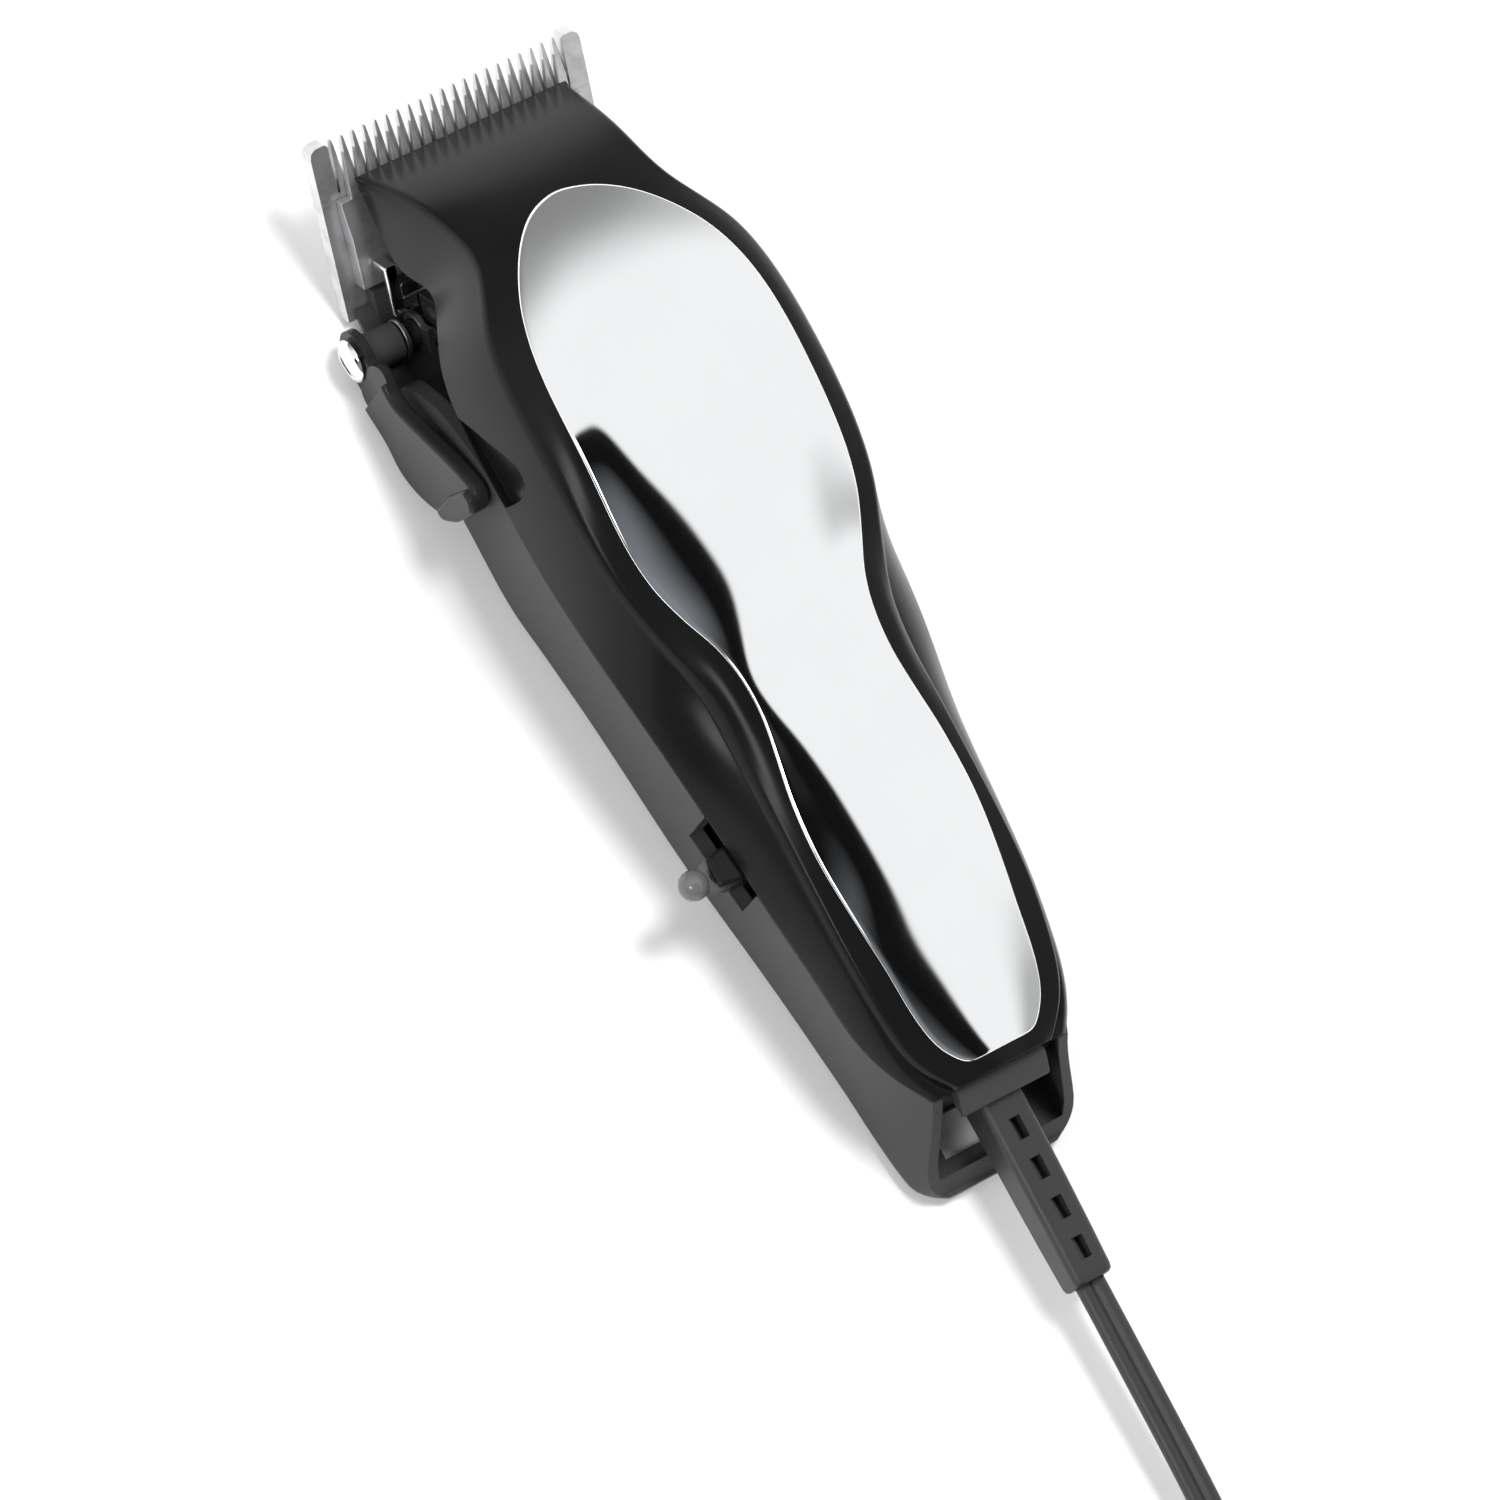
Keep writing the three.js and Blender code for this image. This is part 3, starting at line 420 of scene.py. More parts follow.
# %% Sweep the twin section along the route
lobe = np.radians(np.linspace(-128, 128, 11))
half_section = [(1.2 + 1.2 * math.cos(a), 1.2 * math.sin(a)) for a in lobe]
groove = [(0.14, 0.42), (-0.14, 0.42)]
twin = half_section + groove + [(-a, -b) for a, b in half_section + groove]


def sweep(name, line, section, twist=None):
    """A closed tube along a line; the section's first axis lies level, then twists."""
    ahead = np.gradient(line, axis=0)
    ahead /= np.linalg.norm(ahead, axis=1)[:, None]
    level = np.cross(ahead, (0, 0, 1))
    level /= np.linalg.norm(level, axis=1)[:, None]
    lift = np.cross(level, ahead)
    turn = np.zeros(len(line)) if twist is None else twist
    first = np.cos(turn)[:, None] * level + np.sin(turn)[:, None] * lift
    second = -np.sin(turn)[:, None] * level + np.cos(turn)[:, None] * lift
    section = np.asarray(section, float)
    rings = line[:, None] + section[None, :, :1] * first[:, None] + section[None, :, 1:] * second[:, None]
    return loft(name, rings)


on_edge = math.pi / 2 * ease((-64 - path[:, 1]) / 42)
on_edge[np.argmax(path[:, 1] < -104):] = math.pi / 2
cord = sweep("mains_cord", path, twin, on_edge)
stands_for(cord, ["cord_lead", "cord_hank", "cord_tail"], "soft_black")
print("cord mesh has", len(cord.data.vertices), "points")

# %% [markdown]
# A soft strap ties the hank, and a moulded two-pin plug lies beyond it. The plug's sections are
# rounded rectangles that grow from the cord's sleeve to a wide grip with finger ribs.

# %% Tie and plug
def rounded_box(wide, tall, corner, count=7):
    """A rounded rectangle, given by half its width and height."""
    points = []
    for cx, cy, start in ((1, 1, 0), (-1, 1, 90), (-1, -1, 180), (1, -1, 270)):
        for a in np.radians(np.linspace(start, start + 90, count)):
            points.append((cx * (wide - corner) + corner * math.cos(a),
                           cy * (tall - corner) + corner * math.sin(a)))
    return points


hank_reach, hank_middle = 24.0, (FRONT_BEND + BACK_BEND) / 2
STRAP_WIDE, STRAP_THICK = 3.6, 0.3
strap_loop = rounded_box(hank_reach + 1.0, 5.65, 3.2, 9)
strap_path = even_steps([(x, hank_middle, z + 5.95) for x, z in strap_loop + strap_loop[:1]], 2.2)
strap_rings = []
for i in range(len(strap_path) - 1):
    ahead = strap_path[(i + 1) % (len(strap_path) - 1)] - strap_path[i - 1 if i else -2]
    out = np.cross(ahead / np.linalg.norm(ahead), (0, 1, 0))
    strap_rings.append([strap_path[i] + np.array((0, a, 0)) + out * b
                        for a, b in rounded_box(STRAP_WIDE, STRAP_THICK, 0.25, 4)])
count = len(strap_rings[0])
tie = new_piece("cord_strap", np.reshape(strap_rings, (-1, 3)),
                ring_faces(count, len(strap_rings), capped=False)
                + closing_faces(count, len(strap_rings)))
stands_for(tie, ["cord_tie"], "cover_black")

PLUG = np.array((-22.4, -236.0, 7.4))
plug_shape = [(0, 3.0, 2.0), (0.4, 3.5, 2.5), (3, 3.7, 2.8), (6, 4.0, 3.2), (9, 4.5, 3.9), (11, 6.2, 4.9),
              (13, 8.8, 6.2), (15, 9.7, 6.6), (17, 9.2, 6.4), (19, 10.2, 6.8), (21, 9.7, 6.6), (23, 10.8, 7.0),
              (25, 11.2, 7.2), (28, 11.4, 7.3), (30.4, 11.4, 7.3), (31, 10.9, 6.8)]
plug_rings = []
for back, wide, tall in plug_shape:
    plug_rings.append([PLUG + (x, -back, z) for x, z in rounded_box(wide, tall, min(tall, 3.4) - 0.2)])
plug = loft("plug_grip", plug_rings)
crisp(plug, 50)
stands_for(plug, ["plug_body"], "soft_black")
print("tie and plug made")

# %% [markdown]
# ## The strain relief
# The moulded relief is a slightly tapered bar with four windows that let it flex. In each window
# a step shows where the cord's cores run. It is lofted, and the windows are carved out.

# %% Build the strain relief
def relief_height(y):
    return 9.8 + (y + 20.8) / 30.4 * 2.4


relief_rings = []
for y, wide, tall in ((15.6, 7.2, 8), (9.6, 7.2, 8), (2, 7.1, 7.8), (-6, 7.0, 7.6), (-14, 6.8, 7.2),
                      (-19.8, 6.6, 6.8), (-20.5, 6.3, 6.5), (-20.8, 5.6, 5.8)):
    relief_rings.append([(x, y, relief_height(y) + z) for x, z in rounded_box(wide / 2, tall / 2, 1.3, 6)])
relief = loft("cord_relief", relief_rings)
carve(relief, [block((-5.4, 5.4), (14.2, 16.6), (7.6, 16.6))], "UNION")
windows = []
for y in (3.2, -3.2, -9.6, -16):
    z = relief_height(y) + 3.6
    windows.append(block((-0.15, 1.0), (y - 1.7, y + 1.7), (z - 2.6, z + 4)))
    windows.append(block((-0.85, -0.1), (y - 1.7, y + 1.7), (z - 0.7, z + 4)))
carve(relief, windows)
crisp(relief, 35)
stands_for(relief, ["strain_relief"], "soft_black")
print("strain relief has", len(relief.data.polygons), "faces")

# %% [markdown]
# ## The top cover
# One section of the cover is a straight side wall, a rounded shoulder and a crowned top. The
# same function, drawn a wall thickness further in, gives the hollow. The recess for the face
# plate, the room over the blades and the thumb notch are carved out of the loft.

# %% Build the top cover
WALL, FLOOR, GAP = 2.2, 2.4, 0.3


def bezier(a, b, c, count):
    t = np.linspace(0, 1, count)[:, None]
    a, b, c = (np.asarray(p, float) for p in (a, b, c))
    return a * (1 - t) ** 2 + b * 2 * t * (1 - t) + c * t * t


def cover_section(station, inset, lower):
    wall, rim = float(cover_half(station)) - inset, float(rim_edge(station)) - inset
    low = float(cover_low(station)) - lower
    edge, top = float(rim_height(station)) - inset, float(crown_height(station)) - inset
    share = np.linspace(0, 0.955, 28)
    crown = np.stack([rim * share, top - (top - edge) * share ** float(bulge(station))], 1)[::-1]
    depth = min(1.5, 0.5 * (edge - low))
    shoulder_low = np.array((rim + 0.4, edge - depth))
    middle = np.array((wall + (rim - wall) * 0.5 + 0.3, low + (edge - low) * 0.5))
    side = bezier((wall, low), 2 * middle - (np.array((wall, low)) + shoulder_low) / 2, shoulder_low, 14)
    corner = (rim + 0.1, min(edge + 0.15, crown[0][1]))
    half = np.concatenate([side, bezier(shoulder_low, corner, crown[0], 9)[1:], crown[1:]])
    left = half[:-1][::-1] * (-1, 1)
    return [(x, station, z) for x, z in np.concatenate([half, left])]


cover_stations = np.concatenate([[11.6, 11.9, 12.4], np.linspace(13, 169.7, 168)])
cover = loft("cover_shell", [cover_section(s, 0, 0) for s in cover_stations])
hollow = loft("tool", [cover_section(s, WALL, 3) for s in np.linspace(14.4, 166.5, 90)])


def plate_line(grow=0.0):
    """The face plate's outline, seen from above: a straight tail, a waist and a round nose."""
    stations = np.concatenate([np.linspace(13.7, 148, 240), np.linspace(148.1, 151.15, 40)])
    side = np.stack([plate_half(stations), stations], 1)
    whole = np.concatenate([side, [(0, 151.5)], side[::-1] * (-1, 1)])
    line = even_steps(np.concatenate([whole, whole[:1]]), 0.6)[:-1]
    reach = 6
    curve = np.exp(-0.5 * (np.arange(-reach, reach + 1) / 2.0) ** 2)
    wrapped = np.concatenate([line[-reach:], line, line[:reach]])
    line = np.stack([np.convolve(wrapped[:, k], curve / curve.sum(), "valid") for k in (0, 1)], 1)
    return inward(line, -grow)


def inward(line, depth):
    """The same closed line moved towards its inside."""
    ahead = np.roll(line, -1, 0) - np.roll(line, 1, 0)
    ahead /= np.linalg.norm(ahead, axis=1)[:, None]
    return line + depth * np.stack([-ahead[:, 1], ahead[:, 0]], 1)


def over_top(line, lift):
    return np.column_stack([line, top_height(line[:, 0], line[:, 1]) + lift])


def spine(line):
    """Points on the centre line that the outline shrinks to."""
    return np.column_stack([np.zeros(len(line)), np.clip(line[:, 1], 19, 141)])


def plate_skin(name, edge_rings, lift, floor_drop, steps=26):
    """A lid over edge rings: each ring of the top shrinks to the spine, and so does the floor."""
    last = edge_rings[-1][:, :2]
    end = spine(last)
    tops = [over_top(last + (end - last) * t, lift) for t in np.linspace(0, 1, steps)[1:]]
    first = edge_rings[0][:, :2]
    lows = [over_top(first + (spine(first) - first) * t, -floor_drop)
            for t in np.linspace(1, 0, 12)[:-1]]
    rings = np.array(lows + list(edge_rings) + tops)
    count = rings.shape[1]
    return new_piece(name, rings.reshape(-1, 3), ring_faces(count, len(rings), capped=False))


RECESS_DEPTH, CLEAR_ABOVE = 1.3, 4.0
wide_line = plate_line(0.3)
recess = plate_skin("tool", [over_top(wide_line, -RECESS_DEPTH), over_top(wide_line, CLEAR_ABOVE)],
                    CLEAR_ABOVE, RECESS_DEPTH)
over_blade = block((-40, 40), (-12, 60), (-20, 4.95), on_blade)
notch_line = [
    (130, 25.2), (127.5, 27.4), (124, 30.1), (120.6, 32.8), (118.6, 34), (116.8, 34.3),
    (115.3, 33.6), (114.6, 32), (114.5, 30), (114.9, 27.4), (115.4, 25.2)]
mouth = block((-15.6, 15.6), (160, 175), (0, 17.6))
carve(cover, [hollow, over_blade, side_prism(notch_line, -40, -23.9), recess, mouth])
crisp(cover)
stands_for(cover, ["top_cover"], "cover_black")
print("cover has", len(cover.data.polygons), "faces")

# %% [markdown]
# ## The face plate
# The plate is the part everyone looks at, because it mirrors the room. Its outline is kept as
# one even line, its edge is a real rounded lip, and its top follows the crown exactly.

# %% Build the face plate
PLATE_LIFT, PLATE_DEPTH, LIP = 0.25, 1.0, 0.5
line = plate_line()
edge_rings = [over_top(line, -PLATE_DEPTH), over_top(line, PLATE_LIFT - LIP)]
for a in np.radians(np.linspace(15, 90, 6)):
    lip_line = inward(line, LIP * (1 - math.cos(a)))
    edge_rings.append(over_top(lip_line, PLATE_LIFT - LIP * (1 - math.sin(a))))
plate = plate_skin("mirror_plate", edge_rings, PLATE_LIFT, PLATE_DEPTH)
stands_for(plate, ["face_plate"], "chrome")
print("face plate has", len(plate.data.polygons), "faces")

# %% [markdown]
# ## The bottom housing
# The tray is lofted like the cover, hollowed, and cut the way the tool-maker would cut it: blade
# seat, lever opening, switch slot, sloped tail with its hanging hole, and screw holes.

# %% Build the bottom housing
def housing_section(station, inset, floor, top):
    low, high = float(bottom_half(station)) - inset, float(seam_half(station)) - inset
    side = np.stack([np.linspace(high, low, 10), np.linspace(top, floor + 3, 10)], 1)
    side[:, 0] += 0.25 * np.sin(np.linspace(0, math.pi, 10))
    corner = bezier((low, floor + 3), (low - 0.15, floor + 0.1), (low - 3, floor), 8)[1:]
    half = np.concatenate([side, corner])
    return [(x, station, z) for x, z in np.concatenate([half, half[::-1] * (-1, 1)])]


tray_stations = np.concatenate([[0, 0.5, 1.2, 2.0, 3.0], np.linspace(4.2, 160, 150)])
tray = loft("housing_tray", [
    housing_section(s, 0, 0, float(seam_height(s)) - GAP) for s in tray_stations])
tray_hollow = loft("tool", [housing_section(s, WALL, FLOOR, float(seam_height(s)) + 2)
                            for s in np.linspace(2.6, 161, 90)])
LEVER_Y, LEVER_Z = 148.3, 5.6


def on_pivot(radius, start, end):
    return rod(radius, (start, LEVER_Y, LEVER_Z), (end, LEVER_Y, LEVER_Z))


screw_posts = [(-18.4, 108), (15, 112), (0, 36)]
inside_parts = [block((-10.8, 10.8), (11.8, 13.8), (0.5, 16.8))]
inside_parts += [rod(3.1, (x, y, 1), (x, y, 19)) for x, y in screw_posts]
pad = block((-20.8, 20.8), (-6, 4.6), (BLADE_THICK + GAP, 5.5), on_blade)
pad_room = loft("tool", [housing_section(s, 0.02, 0.02, 24) for s in np.linspace(120, 159.9, 40)])
step = pad.modifiers.new("inside", "BOOLEAN")
step.operation, step.solver, step.object = "INTERSECT", "MANIFOLD", pad_room
settle(pad)
bpy.data.objects.remove(pad_room)
carve(tray, [tray_hollow])
carve(tray, [*inside_parts, pad], "UNION")
carve(tray, [
    side_prism([(118, 40), (118, 25.4), (121, 24.4), (124.6, 23.1), (128, 21.6), (131.2, 20), (134, 18),
                (136.2, 15.8), (138, 13.5), (139.8, 11.2), (141, 9), (141.4, 6.2), (141.5, 3.4),
                (143, FLOOR + 1), (170, FLOOR + 1), (170, 40)], -40, -19.6),
    side_prism([(146, 40), (146, 24.6), (150, 20), (153.5, 6.2), (153, 4.2), (165, 15), (165, 40)], -40, 40)])
carve(tray, [on_pivot(3.0, -24.9, -19.6)], "UNION")
reach = 41.8 / 2 + 1.3 + WALL
cuts = [
    block((-40, 40), (-30, 60), (-40, BLADE_THICK + GAP), on_blade),
    side_prism([(-5, 2.9), (0.6, 2.9), (11.9, 21.4), (12, 40), (-5, 40)], -40, 40),
    block((-4, 4), (10, 15), (7.2, 17.4)),
    block((-6.9, 6.9), (5.1, 11.3), (-1, FLOOR + 1)),
    block((-30, -15), (49.5, 62.8), (12.8, 30)),
    rod(3.3, (15, 84, 12), (30, 84, 12)),
    block((-reach, reach), (5, 30), (BLADE_THICK, 7), on_blade),
    on_pivot(3.4, -19.5, -14), on_pivot(2.3, -30, -15)]
for x, y in screw_posts:
    cuts += [rod(3, (x, y, -1), (x, y, 2)), rod(1.7, (x, y, 1), (x, y, 22))]
cuts += [rod(1.7, (x, 2.6, 0), (x, 2.6, 9), turned=on_blade) for x in (-14, 14)]
carve(tray, cuts)
crisp(tray)
stands_for(tray, ["bottom_housing"], "housing_grey")
print("housing has", len(tray.data.polygons), "faces")

# %% [markdown]
# ## The taper lever
# The lever is one smooth S from its hub to a broad thumb end. Its outline is softened, its faces
# get a rounded edge, and a raised lip runs across the thumb end.

# %% Build the lever
LEVER_FACE, LEVER_THICK = -28.0, 2.6


def soft_loop(corners, spacing=0.6, soften=1.2):
    """A closed line through corner points, evenly spaced, with its corners softened."""
    loop = even_steps(np.array(list(corners) + [corners[0]], float), spacing)[:-1]
    reach = int(3 * soften / spacing)
    bell = np.exp(-0.5 * (np.arange(-reach, reach + 1) * spacing / soften) ** 2)
    wrapped = np.concatenate([loop[-reach:], loop, loop[:reach]])
    return np.stack([np.convolve(wrapped[:, k], bell / bell.sum(), "valid") for k in (0, 1)], 1)


def pillow(name, loop, outer, inner, edge):
    """A flat piece with rounded edges on both faces, standing on the clipper's side."""
    if np.sum(loop[:, 0] * np.roll(loop[:, 1], -1) - loop[:, 1] * np.roll(loop[:, 0], -1)) < 0:
        loop = loop[::-1]
    rings = []
    for a in np.radians(np.linspace(90, 0, 6)):
        inset = inward(loop, edge * (1 - math.cos(a)))
        rings.append(np.column_stack([np.full(len(loop), outer + edge * (1 - math.sin(a))), inset]))
    for a in np.radians(np.linspace(0, 90, 6)):
        inset = inward(loop, edge * (1 - math.cos(a)))
        rings.append(np.column_stack([np.full(len(loop), inner - edge * (1 - math.sin(a))), inset]))
    return loft(name, rings)


lever_corners = [
    (145.8, 10.6), (143.6, 14.2), (141.4, 13), (138.4, 12.6), (134.6, 15), (130.2, 18), (125.6, 21.2),
    (120.6, 24), (118.6, 23.8), (117.2, 21.6), (118.4, 14.2), (120.2, 9.4), (122.6, 6.6), (125.6, 4),
    (128.6, 2.4), (131.6, 1.7), (135.2, 2.6), (138.2, 2.3), (141.8, 1.7), (144.4, 1.9)]
lever = pillow("thumb_lever", soft_loop(lever_corners), LEVER_FACE, LEVER_FACE + LEVER_THICK, 0.8)
lip_corners = [
    (117.2, 21.6), (118.4, 23.4), (120.6, 23.2), (122.2, 16), (122.4, 9.8), (120.4, 9.8), (118.4, 14.2)]
thumb_lip = pillow("tool", soft_loop(lip_corners, 0.4, 0.6), LEVER_FACE - 1.1, LEVER_FACE + 0.9, 0.7)
carve(lever, [thumb_lip], "UNION")
carve(lever, [block((-40, LEVER_FACE + 0.9), (141.6, 160), (-5, 20))])
carve(lever, [on_pivot(4.4, LEVER_FACE + 1.4, -25.3), block((LEVER_FACE + 1, -25.4), (141, 147), (2.4, 9.6)),
              on_pivot(2, -25.6, -15.9)], "UNION")
carve(lever, [on_pivot(1.3, -30, -20)])
crisp(lever)
stands_for(lever, ["taper_lever"], "lever_black")
print("lever has", len(lever.data.polygons), "faces")

# %% [markdown]
# ## Switch and marks
# The slide switch has a tapered knob with a ball on its end. Small raised marks beside it show on
# and off: a ring and a pair of bars, which are generic and carry no lettering.

# %% Build the switch knob, its ball and the raised marks
SWITCH_Y, SWITCH_Z = 55.3, 19.0
knob_rings = []
for x, wide, tall, corner in ((-16.4, 3.0, 2.9, 0.5), (-20.0, 2.86, 2.83, 0.6), (-21.4, 2.8, 2.78, 0.7),
                              (-23.0, 2.5, 2.45, 0.8), (-23.7, 2.35, 2.25, 0.8), (-23.9, 2.1, 2.0, 0.7)):
    knob_rings.append([(x, SWITCH_Y + a, SWITCH_Z + b) for a, b in rounded_box(wide, tall, corner)])
knob = crisp(loft("slide_knob", knob_rings), 50)
stands_for(knob, ["switch_knob"], "lever_black")
ball_rings = []
for a in np.radians(np.linspace(4, 176, 24)):
    radius, x = 2.3 * math.sin(a), -26.5 - 2.3 * math.cos(a)
    around = np.linspace(0, 2 * math.pi, 40, endpoint=False)
    ball_rings.append([(x, SWITCH_Y + radius * math.cos(b), SWITCH_Z + radius * math.sin(b)) for b in around])
ball = loft("knob_ball", ball_rings)
stands_for(ball, ["switch_ball"], "grey_plastic")


def wall_point(station, share):
    """A point on the cover's left wall, and the wall's outward direction there."""
    def at(s, k):
        wall, rim = float(cover_half(s)), float(rim_edge(s)) + 0.45
        low, edge = float(cover_low(s)), float(rim_height(s)) - 2.2
        bow = 4 * k * (1 - k) * 0.3
        return np.array((-(wall + (rim - wall) * k + bow), s, low + (edge - low) * k))
    here = at(station, share)
    along, up = at(station + 0.5, share) - here, at(station, share + 0.05) - here
    out = np.cross(along, up)
    out /= np.linalg.norm(out)
    return here, along / np.linalg.norm(along), up / np.linalg.norm(up), out if out[0] < 0 else -out


def raised_bar(name, station, long, high):
    here, along, up, out = wall_point(station, 0.62)
    rings = []
    for depth, shrink in ((-0.35, 0), (0.12, 0), (0.2, 0.1)):
        rings.append([here + along * a + up * b + out * depth
                      for a, b in rounded_box(long / 2 - shrink, high / 2 - shrink, 0.16, 4)])
    mark = crisp(loft(name, rings), 50)
    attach(mark, "housing")
    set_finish(mark, "cover_black")
    return mark


marks = [raised_bar("mark_bar_back", 48.9, 0.5, 2.2), raised_bar("mark_bar_front", 50.3, 0.5, 2.2)]
here, along_wall, up_wall, out = wall_point(59.9, 0.62)
mark_points = []
small = np.linspace(0, 2 * math.pi, 8, endpoint=False)
for a in np.linspace(0, 2 * math.pi, 40, endpoint=False):
    spoke = along_wall * math.cos(a) + up_wall * math.sin(a)
    for b in small:
        mark_points.append(here + spoke * (1.15 + 0.26 * math.cos(b)) + out * (0.02 + 0.22 * math.sin(b)))
ring_mark = new_piece("mark_ring", mark_points, ring_faces(8, 40, capped=False) + closing_faces(8, 40))
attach(ring_mark, "housing")
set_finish(ring_mark, "cover_black")
marks.append(ring_mark)
print("marks made:", [m.name for m in marks])

# %% [markdown]
# ## The cutting teeth
# A comb tooth is a slender wedge: narrow at its rounded tip, and thinned towards it. The fixed
# blade has a guard on each side; the cutter's shorter teeth stand between the fixed ones.

# %% Build both blades
PITCH = 1.92


def tooth(x, root, tip, wide, narrow):
    """One slender tooth, as points from its right root round its tip to its left root."""
    right = [(x + wide / 2, root), (x + wide * 0.40, root + (tip - root) * 0.35),
             (x + narrow * 0.75, tip - 0.9)]
    nose = [(x + narrow * 0.5 * math.cos(a), tip - 0.3 + 0.3 * math.sin(a))
            for a in np.radians((0, 30, 60, 90))]
    half = right + nose
    return half + [(2 * x - a, b) for a, b in half[-2::-1]]


def comb(name, half, back, root, tip, wide, narrow, count, low, high, guard=0):
    line = [(-half, back), (half, back)]
    if guard:
        line += [(half, tip - 1.6), (half - 0.25, tip - 0.6), (half - 0.9, tip - 0.1), (half - 1.5, tip),
                 (half - guard + 0.5, tip), (half - guard + 0.1, tip - 0.3), (half - guard, tip - 0.8),
                 (half - guard, root + 0.5), (half - guard - 0.4, root)]
    else:
        line += [(half, root)]
    for i in range(count - 1, -1, -1):
        line += tooth((i - (count - 1) / 2) * PITCH, root, tip, wide, narrow)
    line += [(-a, b) for a, b in line[2:11][::-1]] if guard else [(-half, root)]
    made = prism([(x, y, low) for x, y in line], [(x, y, high) for x, y in line], on_blade)
    made.name = name
    return made


def blade_wedge(side, left, right):
    """A carving tool given by points along and out of the blade."""
    return prism([(left, y, z) for y, z in side], [(right, y, z) for y, z in side], on_blade)


fixed = comb("comb_blade", 23.25, 0, 20.2, 28.8, 1.34, 0.34, 21, 0, BLADE_THICK, guard=3.1)
SCREW_ACROSS, SCREW_ALONG, SHANK_HOLE, HEAD_SINK = 14, 2.6, (1.7, 4), (2.9, 1.7)
holes = [rod(r, (x, SCREW_ALONG, -1), (x, SCREW_ALONG, top), turned=on_blade)
         for x in (-SCREW_ACROSS, SCREW_ACROSS) for r, top in (SHANK_HOLE, HEAD_SINK)]
carve(fixed, [
    blade_wedge([(21, -1), (30, -1), (30, 1.5), (21, 0)], -19.9, 19.9),
    blade_wedge([(23.4, BLADE_THICK + 1), (23.4, BLADE_THICK), (29.4, 1.9),
                 (29.4, BLADE_THICK + 1)], -19.9, 19.9),
    block((-24, -20), (19.6, 19.75), (BLADE_THICK - 0.12, 4), on_blade),
    block((20, 24), (19.6, 19.75), (BLADE_THICK - 0.12, 4), on_blade)] + holes)
stands_for(crisp(fixed, 24), ["stationary_blade"], "blade_steel")
low, tip = BLADE_THICK + 0.1, 26.9
cutter = comb("cutter_blade", 20.9, 5.6, tip - 7.2, tip, 1.5, 0.24, 20, low, low + 2.8)
carve(cutter, [
    blade_wedge([(14, 8), (14, low + 2.81), (17.5, low + 1.9), (19.5, low + 1.6), (28, low + 0.5),
                 (28, 8)], -30, 30)])
stands_for(crisp(cutter, 24), ["moving_blade"], "blade_steel")
for blade in (fixed, cutter):
    edge = blade.modifiers.new("edge", "BEVEL")
    edge.width, edge.segments, edge.limit_method, edge.angle_limit = 0.13 * MM, 2, "ANGLE", math.radians(40)
print("blades:", len(fixed.data.polygons), "and", len(cutter.data.polygons), "faces")

# %% [markdown]
# ## Edges of the remaining CAD pieces
# The clip, the screws and the parts of the motor keep their CAD meshes. A real edge is never
# perfectly sharp, so each gets a small bevel by modifiers, which leave its own mesh untouched.

# %% Bevel what stays
bevel_widths = {
    "tension_clip": 0.3, "exit_panel": 0.3, "switch_plate": 0.15, "blade_guide": 0.25,
    "taper_carriage": 0.3, "coil_bobbin": 0.25,
    "coil_winding": 0.5, "armature": 0.25, "stator_core": 0.25, "drive_arm": 0.3, "spring_clamp": 0.4,
    "motor_bracket": 0.25, "plug_blade_left": 0.3, "plug_blade_right": 0.3}
for name, node in frame["nodes"].items():
    if node.hide_render:
        continue
    node.data.shade_flat()
    weld = node.modifiers.new("weld", "WELD")
    weld.merge_threshold = 2e-6
    flat = node.modifiers.new("join flats", "DECIMATE")
    flat.decimate_type, flat.angle_limit = "DISSOLVE", math.radians(1)
    bevel = node.modifiers.new("edge", "BEVEL")
    bevel.width, bevel.segments = bevel_widths.get(name, 0.12) * MM, 2
    bevel.limit_method, bevel.angle_limit = "ANGLE", math.radians(36)
    node.modifiers.new("even shading", "WEIGHTED_NORMAL")
print("bevelled", sum(not n.hide_render for n in frame["nodes"].values()), "CAD pieces")

# %% [markdown]
# ## Writing materials as sums
# A material is a small set of nodes. A node's output is wrapped in a class that knows +, - and
# *, so a formula adds its Math nodes by itself. All other nodes come from one method.

# %% A bench for building materials
class Wire:
    """A node's output that can be used in sums, like a number."""

    def __init__(self, bench, socket):
        self.bench, self.socket = bench, socket

    def _sum(self, kind, a, b):
        return self.bench.node("ShaderNodeMath", {"operation": kind}, [a, b])

    def __add__(self, other):
        return self._sum("ADD", self, other)

    def __radd__(self, other):
        return self._sum("ADD", other, self)

    def __sub__(self, other):
        return self._sum("SUBTRACT", self, other)

    def __rsub__(self, other):
        return self._sum("SUBTRACT", other, self)

    def __mul__(self, other):
        return self._sum("MULTIPLY", self, other)

    def __rmul__(self, other):
        return self._sum("MULTIPLY", other, self)


